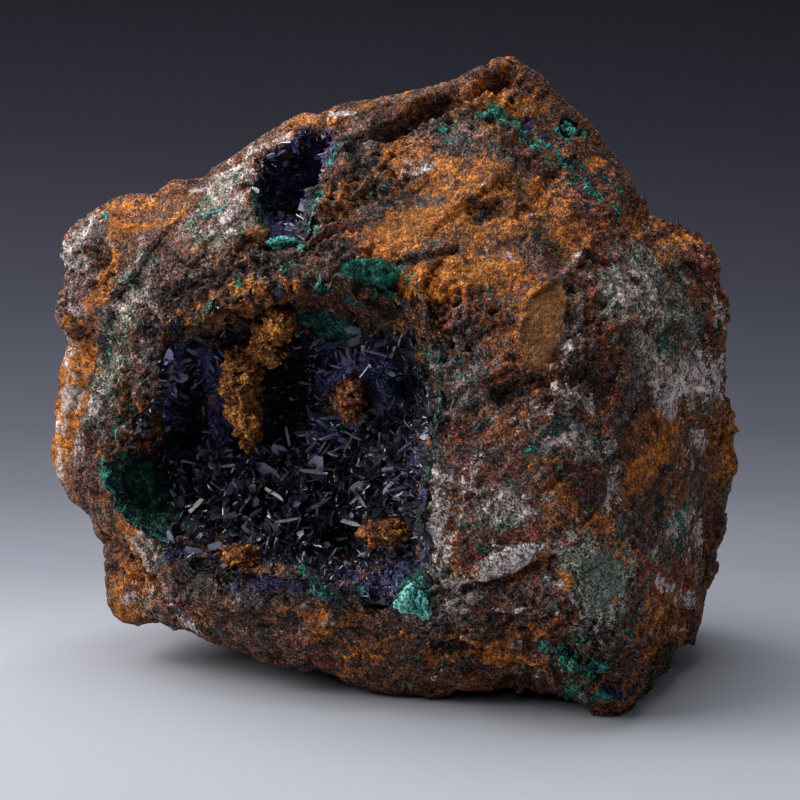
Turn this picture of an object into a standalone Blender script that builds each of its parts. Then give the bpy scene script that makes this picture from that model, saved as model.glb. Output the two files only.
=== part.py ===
"""A block of limonite and hematite whose two vugs are lined with azurite crystals and malachite.

The rock was laid out in its front view, seen from one metre away and 12 degrees above level. A landmark
there is (across, down, toward): two coordinates in the 800 by 800 pixel picture of that view, and the
distance in millimetres from the view's middle plane toward the viewer. Landmarks that the front view
hides are (x, y, z) in millimetres from the point on the ground under the view's middle: +X right, +Y away
from the viewer, +Z up.
"""

import math
import random

import bmesh
import bpy
import numpy as np
from mathutils import Vector, noise

MM = 0.001

# The front view. One pixel is 0.28 mm, which makes the rock 200 mm wide
PIXEL = 0.28 * MM
PICTURE_MIDDLE = 400
VIEW_RISE = math.radians(12)
VIEW_DISTANCE = 1.0
VIEW_CENTRE = Vector((1.4 * MM, -6.0 * MM, 76.1 * MM))
ACROSS = Vector((1.0, 0.0, 0.0))
UPWARD = Vector((0.0, math.sin(VIEW_RISE), math.cos(VIEW_RISE)))
TOWARD = Vector((0.0, -math.cos(VIEW_RISE), math.sin(VIEW_RISE)))

# Fits. Neighbours keep a gap, and a cut's points nearer than the merge distance become one
GAP = 0.3 * MM
MERGE = 0.02 * MM
FLAT = math.radians(0.3)
FLOOR_BLOCK = 0.4

# Surface. Chance and knob roughness are shares of the swell
ROCK_ROUGHNESS = 1.1 * MM
ROCK_GRAIN = 14 * MM
CHANCE = 0.4
KNOB_ROUGHNESS = 0.16
KNOB_GRAIN = 0.48
NOISE_STEP = Vector((7.3, 3.1, 5.7))

# Vugs. The druse's depth is in millimetres and its rim in pixels. A vug flares out to its mouth
DRUSE_DEPTH = 5.0
DRUSE_RIM = 5
FLARE = 1.12
FLARE_DEPTH = 14
MOUTH_DEPTH = 50

# Subdivisions of the icospheres: 5120 faces for the rock, 1280, 320 and 80 for the smaller shapes
ROCK_DETAIL = 5
ROCK_FACES_KEPT = 0.6
MAIN_VUG_DETAIL = 4
UPPER_VUG_DETAIL = 3
KNOB_DETAIL = 2

# The outline is fitted in sectors, and a point's share of the fit grows toward the outline
SECTORS = 180
FIT_ROUNDS = 3
FIT_POWER = 4

# The middle of the rock
ROCK_MIDDLE = (400, 400, -5)

# The rock's outline in the front view, from its right side over the top and round by the left
OUTLINE = [
    (727, 400), (729, 341), (732, 310), (726, 281), (715, 252), (696, 228), (652, 214), (630, 169),
    (592, 125), (548, 81), (525, 56), (492, 55), (457, 72), (400, 90), (347, 99), (296, 114),
    (250, 141), (207, 170), (147, 188), (111, 197), (83, 217), (63, 243), (63, 277), (55, 307),
    (64, 340), (55, 399), (49, 461), (63, 490), (99, 540), (106, 570), (108, 604), (128, 632),
    (168, 630), (196, 638), (255, 658), (296, 669), (327, 673), (352, 689), (383, 696), (408, 700),
    (459, 694), (510, 690), (556, 699), (577, 708), (592, 719), (605, 722), (620, 717), (635, 699),
    (668, 676), (696, 648), (704, 613), (719, 549), (727, 519), (732, 489), (738, 455), (736, 429),
]  # fmt: skip

# Landmarks that the front view shows, by region
SEEN = {
    "right outline": [
        (727, 400, -34), (729, 341, -34), (732, 310, -32), (726, 281, -30), (715, 252, -26),
        (696, 228, -22), (652, 214, -16), (737, 459, -35), (732, 489, -35), (719, 549, -32),
        (704, 613, -24), (696, 648, -15), (668, 676, 10),
    ],
    "top outline": [
        (630, 169, -10), (592, 125, -8), (548, 81, -8), (510, 57, -10), (457, 72, -18), (400, 90, -22),
        (347, 99, -24), (296, 114, -25), (250, 141, -25), (207, 170, -24), (147, 188, -22), (111, 197, -20),
    ],
    "left outline": [
        (83, 217, -12), (63, 243, -22), (63, 277, -25), (55, 307, -28), (64, 340, -28), (55, 399, -30),
        (49, 461, -30), (63, 490, -25), (99, 540, -20), (106, 570, -22), (108, 604, -20), (128, 632, -15),
    ],
    "lower outline": [
        (168, 630, -5), (196, 638, 2), (255, 658, 14), (296, 669, 18), (327, 673, 20), (352, 689, 20),
        (383, 697, 20), (408, 702, 18), (434, 700, 20), (459, 694, 18), (490, 692, 22), (510, 690, 26),
        (556, 699, 34), (577, 708, 38), (592, 721, 38), (605, 725, 38), (620, 718, 38), (635, 699, 30),
    ],
    "left shoulder": [
        (130, 230, -3), (100, 262, -12), (105, 300, -8), (90, 380, -12), (75, 450, -17), (130, 330, 3),
        (140, 400, 10), (150, 215, -4), (200, 200, 4), (200, 250, 14),
    ],
    "lower left chunk": [
        (100, 500, -6), (130, 528, 6), (112, 590, -12), (140, 600, -2), (160, 615, 0), (170, 570, 13),
    ],
    "edge of the top face": [
        (235, 190, 8), (280, 150, 2), (330, 130, 3), (420, 110, 3), (480, 80, -3), (430, 150, 13),
        (520, 130, 8), (545, 150, 6),
    ],
    "face over the main vug": [
        (240, 220, 16), (270, 240, 22), (330, 160, 13), (350, 200, 22), (420, 200, 25), (400, 260, 38),
        (450, 280, 43), (470, 230, 33), (500, 200, 27),
    ],
    "rim of the main vug": [
        (165, 400, 17), (120, 460, 8), (110, 490, 2), (165, 530, 12), (230, 590, 24), (200, 320, 21),
        (300, 285, 35), (380, 275, 41), (425, 310, 46), (440, 380, 50), (425, 450, 50), (418, 530, 46),
        (420, 600, 40), (340, 600, 34), (280, 575, 28),
    ],
    "face under the main vug": [
        (200, 600, 14), (250, 620, 20), (300, 620, 28), (350, 650, 26), (400, 640, 32), (480, 640, 41),
        (500, 620, 45), (520, 660, 40),
    ],
    "front ridge": [
        (590, 200, 12), (560, 260, 32), (520, 330, 47), (540, 400, 54), (560, 480, 58), (580, 560, 56),
        (600, 640, 50), (605, 700, 42), (480, 330, 46), (480, 400, 52), (480, 480, 54), (480, 560, 50),
        (520, 520, 56),
    ],
    "right face": [
        (640, 230, 2), (690, 240, -16), (640, 300, 24), (600, 300, 36), (600, 400, 46), (650, 400, 30),
        (700, 350, -2), (650, 500, 32), (690, 450, 8), (720, 440, -18), (640, 600, 34), (680, 600, 8),
        (660, 650, 18), (640, 690, 26), (700, 530, -5),
    ],
}  # fmt: skip

# Landmarks that the front view hides, in millimetres
HIDDEN = {
    "underside": [
        (-60, 0, 17), (-30, 0, 11), (0, 0, 9), (30, -18, 9), (30, 8, 9), (62, -5, 9), (4, 42, 9),
        (80, 20, 14), (-72, 35, 24), (82, 42, 16),
    ],
    "back feet": [(-40, 47, -2), (-34, 42, -2), (46, 52, -2), (54, 50, -2), (5, -25, -2)],
    "back": [
        (-86, 50, 60), (-88, 48, 98), (-60, 64, 40), (-60, 62, 108), (-20, 70, 72), (-20, 67, 118),
        (-28, 62, 134), (-78, 50, 112), (5, 60, 142), (30, 72, 60), (30, 67, 112), (30, 50, 150),
        (64, 46, 120), (70, 62, 50), (72, 57, 96), (92, 46, 48), (90, 44, 84), (20, 66, 20),
        (-42, 58, 16), (60, 60, 16), (-8, 71, 40), (50, 69, 84),
    ],
}  # fmt: skip

# Fracture faces of the hidden sides: the way each one faces, and its distance from the rock's middle
FRACTURES = [
    ((-0.08, 0.98, 0.12), 64), ((0.32, 0.94, 0.05), 66), ((-0.62, 0.78, 0.06), 76), ((0.74, 0.66, 0.1), 83),
    ((-0.3, 0.62, 0.72), 71), ((0.42, 0.6, 0.68), 77), ((0.05, 0.74, -0.67), 82), ((-0.6, 0.5, -0.62), 95),
    ((0.7, 0.3, -0.65), 99), ((-0.85, 0.3, 0.42), 88), ((0.3, 0.86, -0.4), 85),
]  # fmt: skip

# The vugs: their rims, and the level that the crystals' tips reach
VUGS = {
    "main_vug": {
        "druse": "azurite_main_druse",
        "detail": MAIN_VUG_DETAIL,
        "middle": (290, 445, 24),
        "rim": [
            (170, 345, 20), (200, 320, 24), (260, 300, 32), (330, 288, 38), (390, 283, 42), (425, 310, 46),
            (440, 350, 49), (440, 400, 50), (432, 440, 50), (422, 480, 50), (418, 530, 47), (420, 590, 42),
            (385, 608, 38), (340, 592, 33), (290, 566, 28), (230, 572, 24), (180, 562, 17), (160, 535, 12),
            (115, 495, 4), (105, 460, 4), (140, 440, 12), (158, 400, 17), (162, 370, 18),
        ],
        "floor": {
            "left pocket": (190, 390, -12),
            "left hollow": (145, 500, -10),
            "left hollow, upper end": (142, 462, -4),
            "behind the column": (245, 400, -2),
            "black pocket": (290, 390, 0),
            "mound": (352, 385, 20),
            "right pocket": (418, 385, 26),
            "left floor": (230, 490, 2),
            "middle floor": (300, 480, 10),
            "right floor": (380, 470, 25),
            "lower left floor": (200, 532, 3),
            "lower floor": (262, 540, 12),
            "lower pocket": (345, 545, 10),
            "violet crust": (392, 570, 30),
            "under the roof": (330, 320, 14),
        },
    },
    "upper_vug": {
        "druse": "azurite_upper_druse",
        "detail": UPPER_VUG_DETAIL,
        "middle": (288, 196, 11),
        "rim": [
            (257, 180, 10), (290, 150, 4), (315, 138, 3), (343, 142, 6), (338, 157, 9), (320, 175, 13),
            (307, 195, 17), (308, 225, 21), (298, 240, 23), (270, 240, 21), (262, 215, 17), (258, 195, 12),
        ],
        "floor": {
            "core": (286, 192, -4),
            "upper end": (320, 156, -4),
            "lower end": (288, 226, 9),
        },
    },
}  # fmt: skip

# Knobs and crusts: the middle (across, down, toward), the half sizes (across, up, toward) in millimetres
# and the turn in the picture in degrees
KNOBS = {
    "limonite_column": [
        ((246, 418, 6), (5.0, 9.0, 13.0), 0),
        ((241, 378, 7), (5.5, 8.0, 13.0), 0),
        ((264, 345, 13), (5.0, 6.0, 13.0), 35),
        ((281, 324, 20), (5.5, 6.0, 12.0), 0),
    ],
    "limonite_mound": [((352, 398, 20), (6.5, 8.0, 10.0), 0)],
    "limonite_ledge_knob": [((386, 531, 30), (7.5, 4.5, 8.0), 5)],
    "limonite_sill_knob": [((241, 561, 15), (6.5, 4.0, 8.0), 10)],
    "malachite_left_velvet": [
        ((150, 508, -11), (10.0, 9.5, 8.0), 0),
        ((134, 478, -9), (7.5, 9.0, 8.0), 0),
    ],
}
PATCHES = {
    "malachite_rim_crust": [((412, 600, 41.5), (5.5, 4.8, 3.6), 30), ((424, 613, 41), (3.5, 3.0, 3.0), 0)],
    "malachite_roof_tuft": [((372, 272, 40.5), (8.0, 3.6, 3.6), -12)],
    "malachite_upper_lining": [((284, 243, 23.5), (6.5, 2.6, 3.4), 0)],
    "malachite_upper_patch": [((568, 131, 1), (4.2, 2.8, 4.0), -15)],
}

# Colours are linear red, green and blue
FINISHES = {
    "rock": {"colour": (0.23, 0.085, 0.026), "roughness": 0.85, "metallic": 0.0},
    "limonite": {"colour": (0.42, 0.16, 0.03), "roughness": 0.9, "metallic": 0.0},
    "azurite": {"colour": (0.012, 0.014, 0.07), "roughness": 0.22, "metallic": 0.0},
    "malachite": {"colour": (0.02, 0.30, 0.19), "roughness": 0.7, "metallic": 0.0},
}


def clear_scene():
    for obj in list(bpy.data.objects):
        bpy.data.objects.remove(obj, do_unlink=True)


def new_collection(name, shown, parent=None):
    collection = bpy.data.collections.new(name)
    (parent or bpy.context.scene.collection).children.link(collection)
    collection.hide_render = not shown
    return collection


def new_material(name, finish):
    material = bpy.data.materials.new(name)
    material.use_nodes = True
    shader = material.node_tree.nodes["Principled BSDF"]
    shader.inputs["Base Color"].default_value = (*finish["colour"], 1.0)
    shader.inputs["Roughness"].default_value = finish["roughness"]
    shader.inputs["Metallic"].default_value = finish["metallic"]
    return material


def sighted(across, down, toward):
    """The place of a landmark that the front view shows."""
    toward *= MM
    spread = PIXEL * (1 - toward / VIEW_DISTANCE)
    right = (across - PICTURE_MIDDLE) * spread
    up = (PICTURE_MIDDLE - down) * spread
    return VIEW_CENTRE + ACROSS * right + UPWARD * up + TOWARD * toward


def picture_of(point):
    """Where the front view shows a point: pixels right of the picture's middle and up from it."""
    offset = point - VIEW_CENTRE
    spread = PIXEL * (1 - offset.dot(TOWARD) / VIEW_DISTANCE)
    return offset.dot(ACROSS) / spread, offset.dot(UPWARD) / spread, spread


def icosphere(subdivisions):
    mesh = bmesh.new()
    bmesh.ops.create_icosphere(mesh, subdivisions=subdivisions, radius=1.0)
    return mesh


def stretch_over(mesh, centre, landmarks):
    """Moves a unit sphere's points in or out so that it passes through the landmarks round its centre."""
    offsets = np.array([landmark - centre for landmark in landmarks])
    radii = np.linalg.norm(offsets, axis=1)
    towards = offsets / radii[:, None]
    count = len(radii)
    system = np.ones((count + 1, count + 1))
    system[:count, :count] = np.linalg.norm(towards[:, None] - towards[None], axis=2)
    system[count, count] = 0
    weights = np.linalg.solve(system, np.append(radii, 0))
    directions = np.array([vertex.co.normalized() for vertex in mesh.verts])
    reach = np.linalg.norm(directions[:, None] - towards[None], axis=2) @ weights[:count] + weights[count]
    for vertex, direction, radius in zip(mesh.verts, directions, reach):
        vertex.co = centre + Vector(direction) * radius


def break_faces(mesh, centre):
    """Draws in whatever sticks out past a fracture face, toward the rock's middle."""
    for facing, distance in FRACTURES:
        facing = Vector(facing).normalized()
        for vertex in mesh.verts:
            offset = vertex.co - centre
            height = offset.dot(facing)
            if height > distance * MM:
                vertex.co = centre + offset * (distance * MM / height)


def outline_radius(angle):
    """The outline's distance in pixels from the picture's middle, at an angle."""
    points = [(across - PICTURE_MIDDLE, PICTURE_MIDDLE - down) for across, down in OUTLINE]
    ray = (math.cos(angle), math.sin(angle))
    farthest = 0
    for start, end in zip(points, points[1:] + points[:1]):
        edge = (end[0] - start[0], end[1] - start[1])
        cross = ray[0] * edge[1] - ray[1] * edge[0]
        if cross == 0:
            continue
        along_ray = (start[0] * edge[1] - start[1] * edge[0]) / cross
        along_edge = (start[0] * ray[1] - start[1] * ray[0]) / cross
        if 0 <= along_edge <= 1 and along_ray > farthest:
            farthest = along_ray
    return farthest


def fit_outline(mesh):
    """Draws each sector of the front view in or out to the outline, and leaves its middle as it is."""
    wanted = [outline_radius(2 * math.pi * (sector + 0.5) / SECTORS) for sector in range(SECTORS)]
    for _ in range(FIT_ROUNDS):
        places = []
        widest = [0.0] * SECTORS
        for vertex in mesh.verts:
            right, up, spread = picture_of(vertex.co)
            sector = math.atan2(up, right) % (2 * math.pi) / (2 * math.pi) * SECTORS
            radius = math.hypot(right, up)
            places.append((vertex, right * spread, up * spread, sector, radius))
            for near in (-1, 0, 1):
                index = int(sector + near) % SECTORS
                widest[index] = max(widest[index], radius)
        scales = [want / wide for want, wide in zip(wanted, widest)]
        for vertex, right, up, sector, radius in places:
            low = int(sector - 0.5) % SECTORS
            blend = (sector - 0.5) % 1
            scale = scales[low] * (1 - blend) + scales[(low + 1) % SECTORS] * blend
            share = min(1.0, radius / wanted[int(sector) % SECTORS]) ** FIT_POWER
            vertex.co += (ACROSS * right + UPWARD * up) * (scale - 1) * share


def roughen(mesh):
    """Moves each point along its normal by smooth noise and a little chance."""
    chance = random.Random(1)
    mesh.normal_update()
    for vertex in mesh.verts:
        swell = noise.noise(vertex.co / ROCK_GRAIN + NOISE_STEP) + CHANCE * chance.uniform(-1, 1)
        vertex.co += vertex.normal * swell * ROCK_ROUGHNESS


def grow(mesh, distance):
    mesh.normal_update()
    normals = [vertex.normal.copy() for vertex in mesh.verts]
    for vertex, normal in zip(mesh.verts, normals):
        vertex.co += normal * distance


def keep_largest(mesh):
    """Leaves only the piece with the most points, where a cut has left crumbs."""
    pieces = []
    seen = set()
    for start in mesh.verts:
        if start in seen:
            continue
        piece = {start}
        waiting = [start]
        while waiting:
            for edge in waiting.pop().link_edges:
                for vertex in edge.verts:
                    if vertex not in piece:
                        piece.add(vertex)
                        waiting.append(vertex)
        seen |= piece
        pieces.append(piece)
    pieces.sort(key=len)
    crumbs = [vertex for piece in pieces[:-1] for vertex in piece]
    bmesh.ops.delete(mesh, geom=crumbs, context="VERTS")


def new_object(name, mesh, collection, material=None):
    """An object of a mesh. One with no material is a cutter."""
    bmesh.ops.recalc_face_normals(mesh, faces=mesh.faces)
    data = bpy.data.meshes.new(name)
    mesh.to_mesh(data)
    mesh.free()
    obj = bpy.data.objects.new(name, data)
    collection.objects.link(obj)
    if material:
        data.materials.append(material)
    else:
        obj.hide_render = True
        obj.display_type = "WIRE"
    return obj


def combine(obj, steps):
    """Cuts, joins or meets an object with others or whole collections, and keeps the largest piece."""
    for operation, other in steps:
        modifier = obj.modifiers.new(operation.title(), "BOOLEAN")
        modifier.operation = operation
        modifier.solver = "EXACT"
        if isinstance(other, bpy.types.Collection):
            modifier.operand_type = "COLLECTION"
            modifier.collection = other
        else:
            modifier.object = other
    bpy.context.view_layer.update()
    graph = bpy.context.evaluated_depsgraph_get()
    result = bpy.data.meshes.new_from_object(obj.evaluated_get(graph))
    obj.modifiers.clear()
    mesh = bmesh.new()
    mesh.from_mesh(result)
    bpy.data.meshes.remove(result)
    bmesh.ops.remove_doubles(mesh, verts=mesh.verts, dist=MERGE)
    bmesh.ops.dissolve_degenerate(mesh, edges=mesh.edges, dist=MERGE)
    bmesh.ops.dissolve_limit(mesh, angle_limit=FLAT, verts=mesh.verts, edges=mesh.edges)
    bmesh.ops.triangulate(mesh, faces=mesh.faces)
    keep_largest(mesh)
    mesh.to_mesh(obj.data)
    mesh.free()


def rock_mesh():
    """The whole rock before its vugs are cut."""
    ground = Vector((VIEW_CENTRE.x, VIEW_CENTRE.y, 0))
    middle = sighted(*ROCK_MIDDLE)
    landmarks = [sighted(*place) for region in SEEN.values() for place in region]
    landmarks += [ground + Vector(place) * MM for region in HIDDEN.values() for place in region]
    mesh = icosphere(ROCK_DETAIL)
    stretch_over(mesh, middle, landmarks)
    break_faces(mesh, middle)
    roughen(mesh)
    fit_outline(mesh)
    return mesh


def floor_cut(cutters):
    """Everything under the level that the rock stands on."""
    mesh = bmesh.new()
    bmesh.ops.create_cube(mesh, size=FLOOR_BLOCK)
    bmesh.ops.translate(mesh, verts=mesh.verts, vec=(0, 0, -FLOOR_BLOCK / 2))
    return new_object("floor_cut", mesh, cutters)


def vug_mesh(vug, deeper=0.0, wider=0.0):
    """A hollow through its rim and floor landmarks, which opens out toward the viewer."""
    across, down, toward = vug["middle"]
    landmarks = [sighted(across, down, toward + MOUTH_DEPTH)]
    for place in vug["rim"]:
        away = Vector((place[0] - across, place[1] - down))
        away *= 1 + wider / away.length
        landmarks.append(sighted(across + away.x, down + away.y, place[2]))
        away *= FLARE
        landmarks.append(sighted(across + away.x, down + away.y, place[2] + FLARE_DEPTH))
    for place in vug["floor"].values():
        landmarks.append(sighted(place[0], place[1], place[2] - deeper))
    mesh = icosphere(vug["detail"])
    stretch_over(mesh, sighted(across, down, toward), landmarks)
    return mesh


def knob_mesh(lump, number, seed, larger=0.0):
    """A knobbly ellipsoid, set and turned in the front view."""
    place, half_sizes, turn = lump
    cosine, sine = math.cos(math.radians(turn)), math.sin(math.radians(turn))
    mesh = icosphere(KNOB_DETAIL)
    for vertex in mesh.verts:
        swell = 1 + KNOB_ROUGHNESS * noise.noise(vertex.co / KNOB_GRAIN + NOISE_STEP * (seed + number))
        right, up, near = (part * half * MM * swell for part, half in zip(vertex.co, half_sizes))
        right, up = right * cosine - up * sine, right * sine + up * cosine
        vertex.co = sighted(*place) + ACROSS * right + UPWARD * up + TOWARD * near
    grow(mesh, larger)
    return mesh


def knob(name, lumps, collection, helpers, material, seed, larger=0.0):
    """A mass of one or more knobs, joined. The helpers are a collection for what is joined on."""
    joined = new_object(name, knob_mesh(lumps[0], 0, seed, larger), collection, material)
    for number, lump in enumerate(lumps[1:], start=1):
        other = new_object(f"{name}_{number}", knob_mesh(lump, number, seed, larger), helpers)
        combine(joined, [("UNION", other)])
    return joined


def whole_rock(parts, cutters, material):
    """The rock on its flat feet, and a copy that keeps its outside where the vugs are cut."""
    rock = new_object("host_rock", rock_mesh(), parts, material)
    rock.modifiers.new("Decimate", "DECIMATE").ratio = ROCK_FACES_KEPT
    combine(rock, [("DIFFERENCE", floor_cut(cutters))])
    blank = bpy.data.objects.new("rock_blank", rock.data.copy())
    blank.hide_render = True
    blank.display_type = "WIRE"
    cutters.objects.link(blank)
    return rock, blank


def vug_linings(cutters, rock_cuts):
    """The space inside each vug's wall, and the cut that makes the wall."""
    linings = {}
    for name, vug in VUGS.items():
        new_object(name + "_wall_cut", vug_mesh(vug, DRUSE_DEPTH, DRUSE_RIM), rock_cuts)
        lining = vug_mesh(vug, DRUSE_DEPTH, DRUSE_RIM)
        grow(lining, -GAP)
        linings[name] = new_object(name + "_lining", lining, cutters)
    return linings


def add_knobs(parts, cutters, druse_cuts, lining, materials):
    """The masses that stand in the main vug, each in a socket in the druse."""
    for seed, (name, lumps) in enumerate(KNOBS.items(), start=1):
        mineral = name.split("_")[0]
        mass = knob(name, lumps, parts, cutters, materials[mineral], seed)
        combine(mass, [("INTERSECT", lining)])
        knob(name + "_socket", lumps, druse_cuts, cutters, None, seed, GAP)


def add_patches(parts, cutters, druse_cuts, rock_cuts, materials):
    """The crusts on the rock's outside, each in a socket in the rock and the druses."""
    for seed, (name, lumps) in enumerate(PATCHES.items(), start=len(KNOBS) + 1):
        knob(name, lumps, parts, cutters, materials["malachite"], seed)
        socket = knob(name + "_socket", lumps, druse_cuts, cutters, None, seed, GAP)
        rock_cuts.objects.link(socket)


def add_druses(parts, cutters, druse_cuts, linings, blank, materials):
    """The crystals that line each vug, as one crust from the wall up to their tips."""
    for name, vug in VUGS.items():
        space = new_object(name + "_space", vug_mesh(vug), cutters)
        druse = bpy.data.objects.new(vug["druse"], linings[name].data.copy())
        druse.data.materials.append(materials["azurite"])
        parts.objects.link(druse)
        combine(druse, [("INTERSECT", blank), ("DIFFERENCE", space), ("DIFFERENCE", druse_cuts)])


def main():
    clear_scene()
    parts = new_collection("azurite_with_malachite", shown=True)
    cutters = new_collection("cutters", shown=False)
    rock_cuts = new_collection("rock_cuts", shown=False, parent=cutters)
    druse_cuts = new_collection("druse_cuts", shown=False, parent=cutters)
    materials = {name: new_material(name, finish) for name, finish in FINISHES.items()}

    rock, blank = whole_rock(parts, cutters, materials["rock"])
    linings = vug_linings(cutters, rock_cuts)
    add_knobs(parts, cutters, druse_cuts, linings["main_vug"], materials)
    add_patches(parts, cutters, druse_cuts, rock_cuts, materials)
    combine(rock, [("DIFFERENCE", rock_cuts)])
    add_druses(parts, cutters, druse_cuts, linings, blank, materials)


main()
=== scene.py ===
"""Azurite with malachite: a rusty limonite rock with two vugs, seen from the front and a little above.

Places on the rock's front are given in the 800 by 800 pixel picture of the front view and dropped on the
surface that lies behind that pixel. Lengths are in millimetres until they reach an object.

A row in a table of strokes has the pixels of a path, across and down in turn, and then the numbers that the
table's comment names. The last whole number in a call for noise is its seed.
"""

import math

import bmesh
import bpy
import numpy as np
from mathutils import Matrix, Vector
from mathutils.bvhtree import BVHTree


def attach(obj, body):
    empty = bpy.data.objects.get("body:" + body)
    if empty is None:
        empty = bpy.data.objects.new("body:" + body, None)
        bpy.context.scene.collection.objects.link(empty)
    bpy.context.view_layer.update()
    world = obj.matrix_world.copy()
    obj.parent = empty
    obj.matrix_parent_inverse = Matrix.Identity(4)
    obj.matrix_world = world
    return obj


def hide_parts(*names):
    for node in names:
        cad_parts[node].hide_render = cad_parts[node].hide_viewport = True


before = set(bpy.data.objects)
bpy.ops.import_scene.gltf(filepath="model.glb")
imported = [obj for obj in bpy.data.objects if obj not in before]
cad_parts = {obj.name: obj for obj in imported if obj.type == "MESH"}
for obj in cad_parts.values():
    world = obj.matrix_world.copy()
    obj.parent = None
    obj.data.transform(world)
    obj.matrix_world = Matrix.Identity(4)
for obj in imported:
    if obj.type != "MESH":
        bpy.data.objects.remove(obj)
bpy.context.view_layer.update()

MM = 0.001

# The front view, as in the part's source
PIXEL = 0.28
PICTURE_MIDDLE = 400
VIEW_RISE = math.radians(12)
VIEW_DISTANCE = 1000.0
VIEW_CENTRE = np.array([1.4, -6.0, 76.1])
ACROSS = np.array([1.0, 0.0, 0.0])
UPWARD = np.array([0.0, math.sin(VIEW_RISE), math.cos(VIEW_RISE)])
TOWARD = np.array([0.0, -math.cos(VIEW_RISE), math.sin(VIEW_RISE)])
SENSOR = 36.0
PICTURE_WIDTH = 2 * PICTURE_MIDDLE * PIXEL

# The direction in which the rock's layers run in the picture
LAYER_TURN = math.radians(37)

# Noise tables
TABLE = 256
CORNERS = np.array([(x, y, z) for x in (0, 1) for y in (0, 1) for z in (0, 1)])
NEIGHBOURS = np.array([(x, y, z) for x in (-1, 0, 1) for y in (-1, 0, 1) for z in (-1, 0, 1)])
table_chance = np.random.default_rng(7)
SHUFFLE = np.tile(table_chance.permutation(TABLE), 3)
SLOPES = table_chance.normal(size=(TABLE, 3)).astype(np.float32)
SLOPES /= np.linalg.norm(SLOPES, axis=1)[:, None]
PLACES = table_chance.random((TABLE, 3)).astype(np.float32)
LEVELS = table_chance.uniform(-1, 1, TABLE).astype(np.float32)


def scramble(cells, seed):
    """A table index for each whole-numbered cell."""
    x, y, z = (cells & (TABLE - 1)).T
    return SHUFFLE[SHUFFLE[SHUFFLE[x + seed % TABLE] + y] + z]


def waves(points, size, seed):
    """Smooth noise of about -1 to 1 whose bumps are size across."""
    places = points / size + seed * 0.37
    cells = np.floor(places).astype(np.int64)
    inside = (places - cells).astype(np.float32)
    fade = inside**3 * (inside * (inside * 6 - 15) + 10)
    total = np.zeros(len(points), np.float32)
    for corner in CORNERS:
        share = np.prod(np.where(corner, fade, 1 - fade), axis=1)
        total += share * ((inside - corner) * SLOPES[scramble(cells + corner, seed)]).sum(1)
    return total * 1.6


def cloudy(points, size, seed, octaves=4, gain=0.55):
    """Smooth noise with finer and finer bumps on it."""
    total = np.zeros(len(points), np.float32)
    for octave in range(octaves):
        total += waves(points, size / 2**octave, seed + octave) * gain**octave
    return total


def nearest_cells(points, size, seed):
    """Cell noise: the distance to the nearest cell's centre, the way from it, and the cell's number."""
    places = points / size + seed * 0.29
    cells = np.floor(places).astype(np.int64)
    nearest = np.full(len(points), 9.0, np.float32)
    offset = np.zeros((len(points), 3), np.float32)
    number = np.zeros(len(points), np.int64)
    for neighbour in NEIGHBOURS:
        found = scramble(cells + neighbour, seed)
        way = (places - cells - neighbour).astype(np.float32) - PLACES[found]
        distance = (way**2).sum(1)
        closer = distance < nearest
        nearest = np.where(closer, distance, nearest)
        offset[closer] = way[closer]
        number[closer] = found[closer]
    return np.sqrt(nearest), offset, number


def lumps(points, size, seed):
    """0 in the middle of a lump to about 1 between lumps."""
    return nearest_cells(points, size, seed)[0]


def chips(points, size, seed, slope=0.5, step=0.5):
    """Broken faces: each cell is a tilted plane at its own level, as a share of size."""
    _, offset, number = nearest_cells(points, size, seed)
    return (offset * SLOPES[number]).sum(1) * slope + LEVELS[number] * step


def smooth_step(values, low, high):
    share = np.clip((values - low) / (high - low), 0, 1)
    return share * share * (3 - 2 * share)


def unit(vectors):
    return vectors / np.linalg.norm(vectors, axis=-1, keepdims=True)


def sighted(across, down, toward):
    """The place of a landmark that the front view shows."""
    spread = PIXEL * (1 - toward / VIEW_DISTANCE)
    right, up = (across - PICTURE_MIDDLE) * spread, (PICTURE_MIDDLE - down) * spread
    return VIEW_CENTRE + ACROSS * right + UPWARD * up + TOWARD * toward


def picture_of(points):
    """Where the front view shows points: pixels across and down."""
    offsets = points - VIEW_CENTRE
    spread = PIXEL * (1 - offsets @ TOWARD / VIEW_DISTANCE)
    return PICTURE_MIDDLE + offsets @ ACROSS / spread, PICTURE_MIDDLE - offsets @ UPWARD / spread


class Surface:
    """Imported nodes, on which places of the picture are dropped."""

    def __init__(self, *nodes):
        points, faces = [], []
        for node in nodes:
            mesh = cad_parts[node].data
            mesh.calc_loop_triangles()
            faces += [[index + len(points) for index in face.vertices] for face in mesh.loop_triangles]
            points += [vertex.co / MM for vertex in mesh.vertices]
        self.tree = BVHTree.FromPolygons(points, faces)

    def path(self, pixels):
        """The points of the surface that the front view shows at some pixels."""
        eye = Vector(VIEW_CENTRE + TOWARD * VIEW_DISTANCE)
        places = []
        for across, down in pixels:
            aim = Vector(sighted(across, down, 0))
            place = self.tree.ray_cast(eye, (aim - eye).normalized())[0] or self.tree.find_nearest(aim)[0]
            places.append(np.array(place))
        return places


rock_surface = Surface("host_rock")
whole_surface = Surface("host_rock", "azurite_main_druse", "azurite_upper_druse")


def strokes(table, others=2):
    """A table's rows, each as its path of pixels and the other numbers at its end."""
    for row in table:
        path = row[:-others]
        yield list(zip(path[::2], path[1::2])), *row[-others:]


def path_distance(points, path):
    """Each point's distance from a path of points."""
    nearest = np.full(len(points), 1e9)
    if len(path) == 1:
        return np.linalg.norm(points - path[0], axis=1)
    for start, end in zip(path, path[1:]):
        along = end - start
        share = np.clip((points - start) @ along / (along @ along), 0, 1)
        away = np.linalg.norm(points - start - share[:, None] * along, axis=1)
        nearest = np.minimum(nearest, away)
    return nearest


# How fast a stroke fades: by this share at its reach
STROKE_FADE = 0.55


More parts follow.
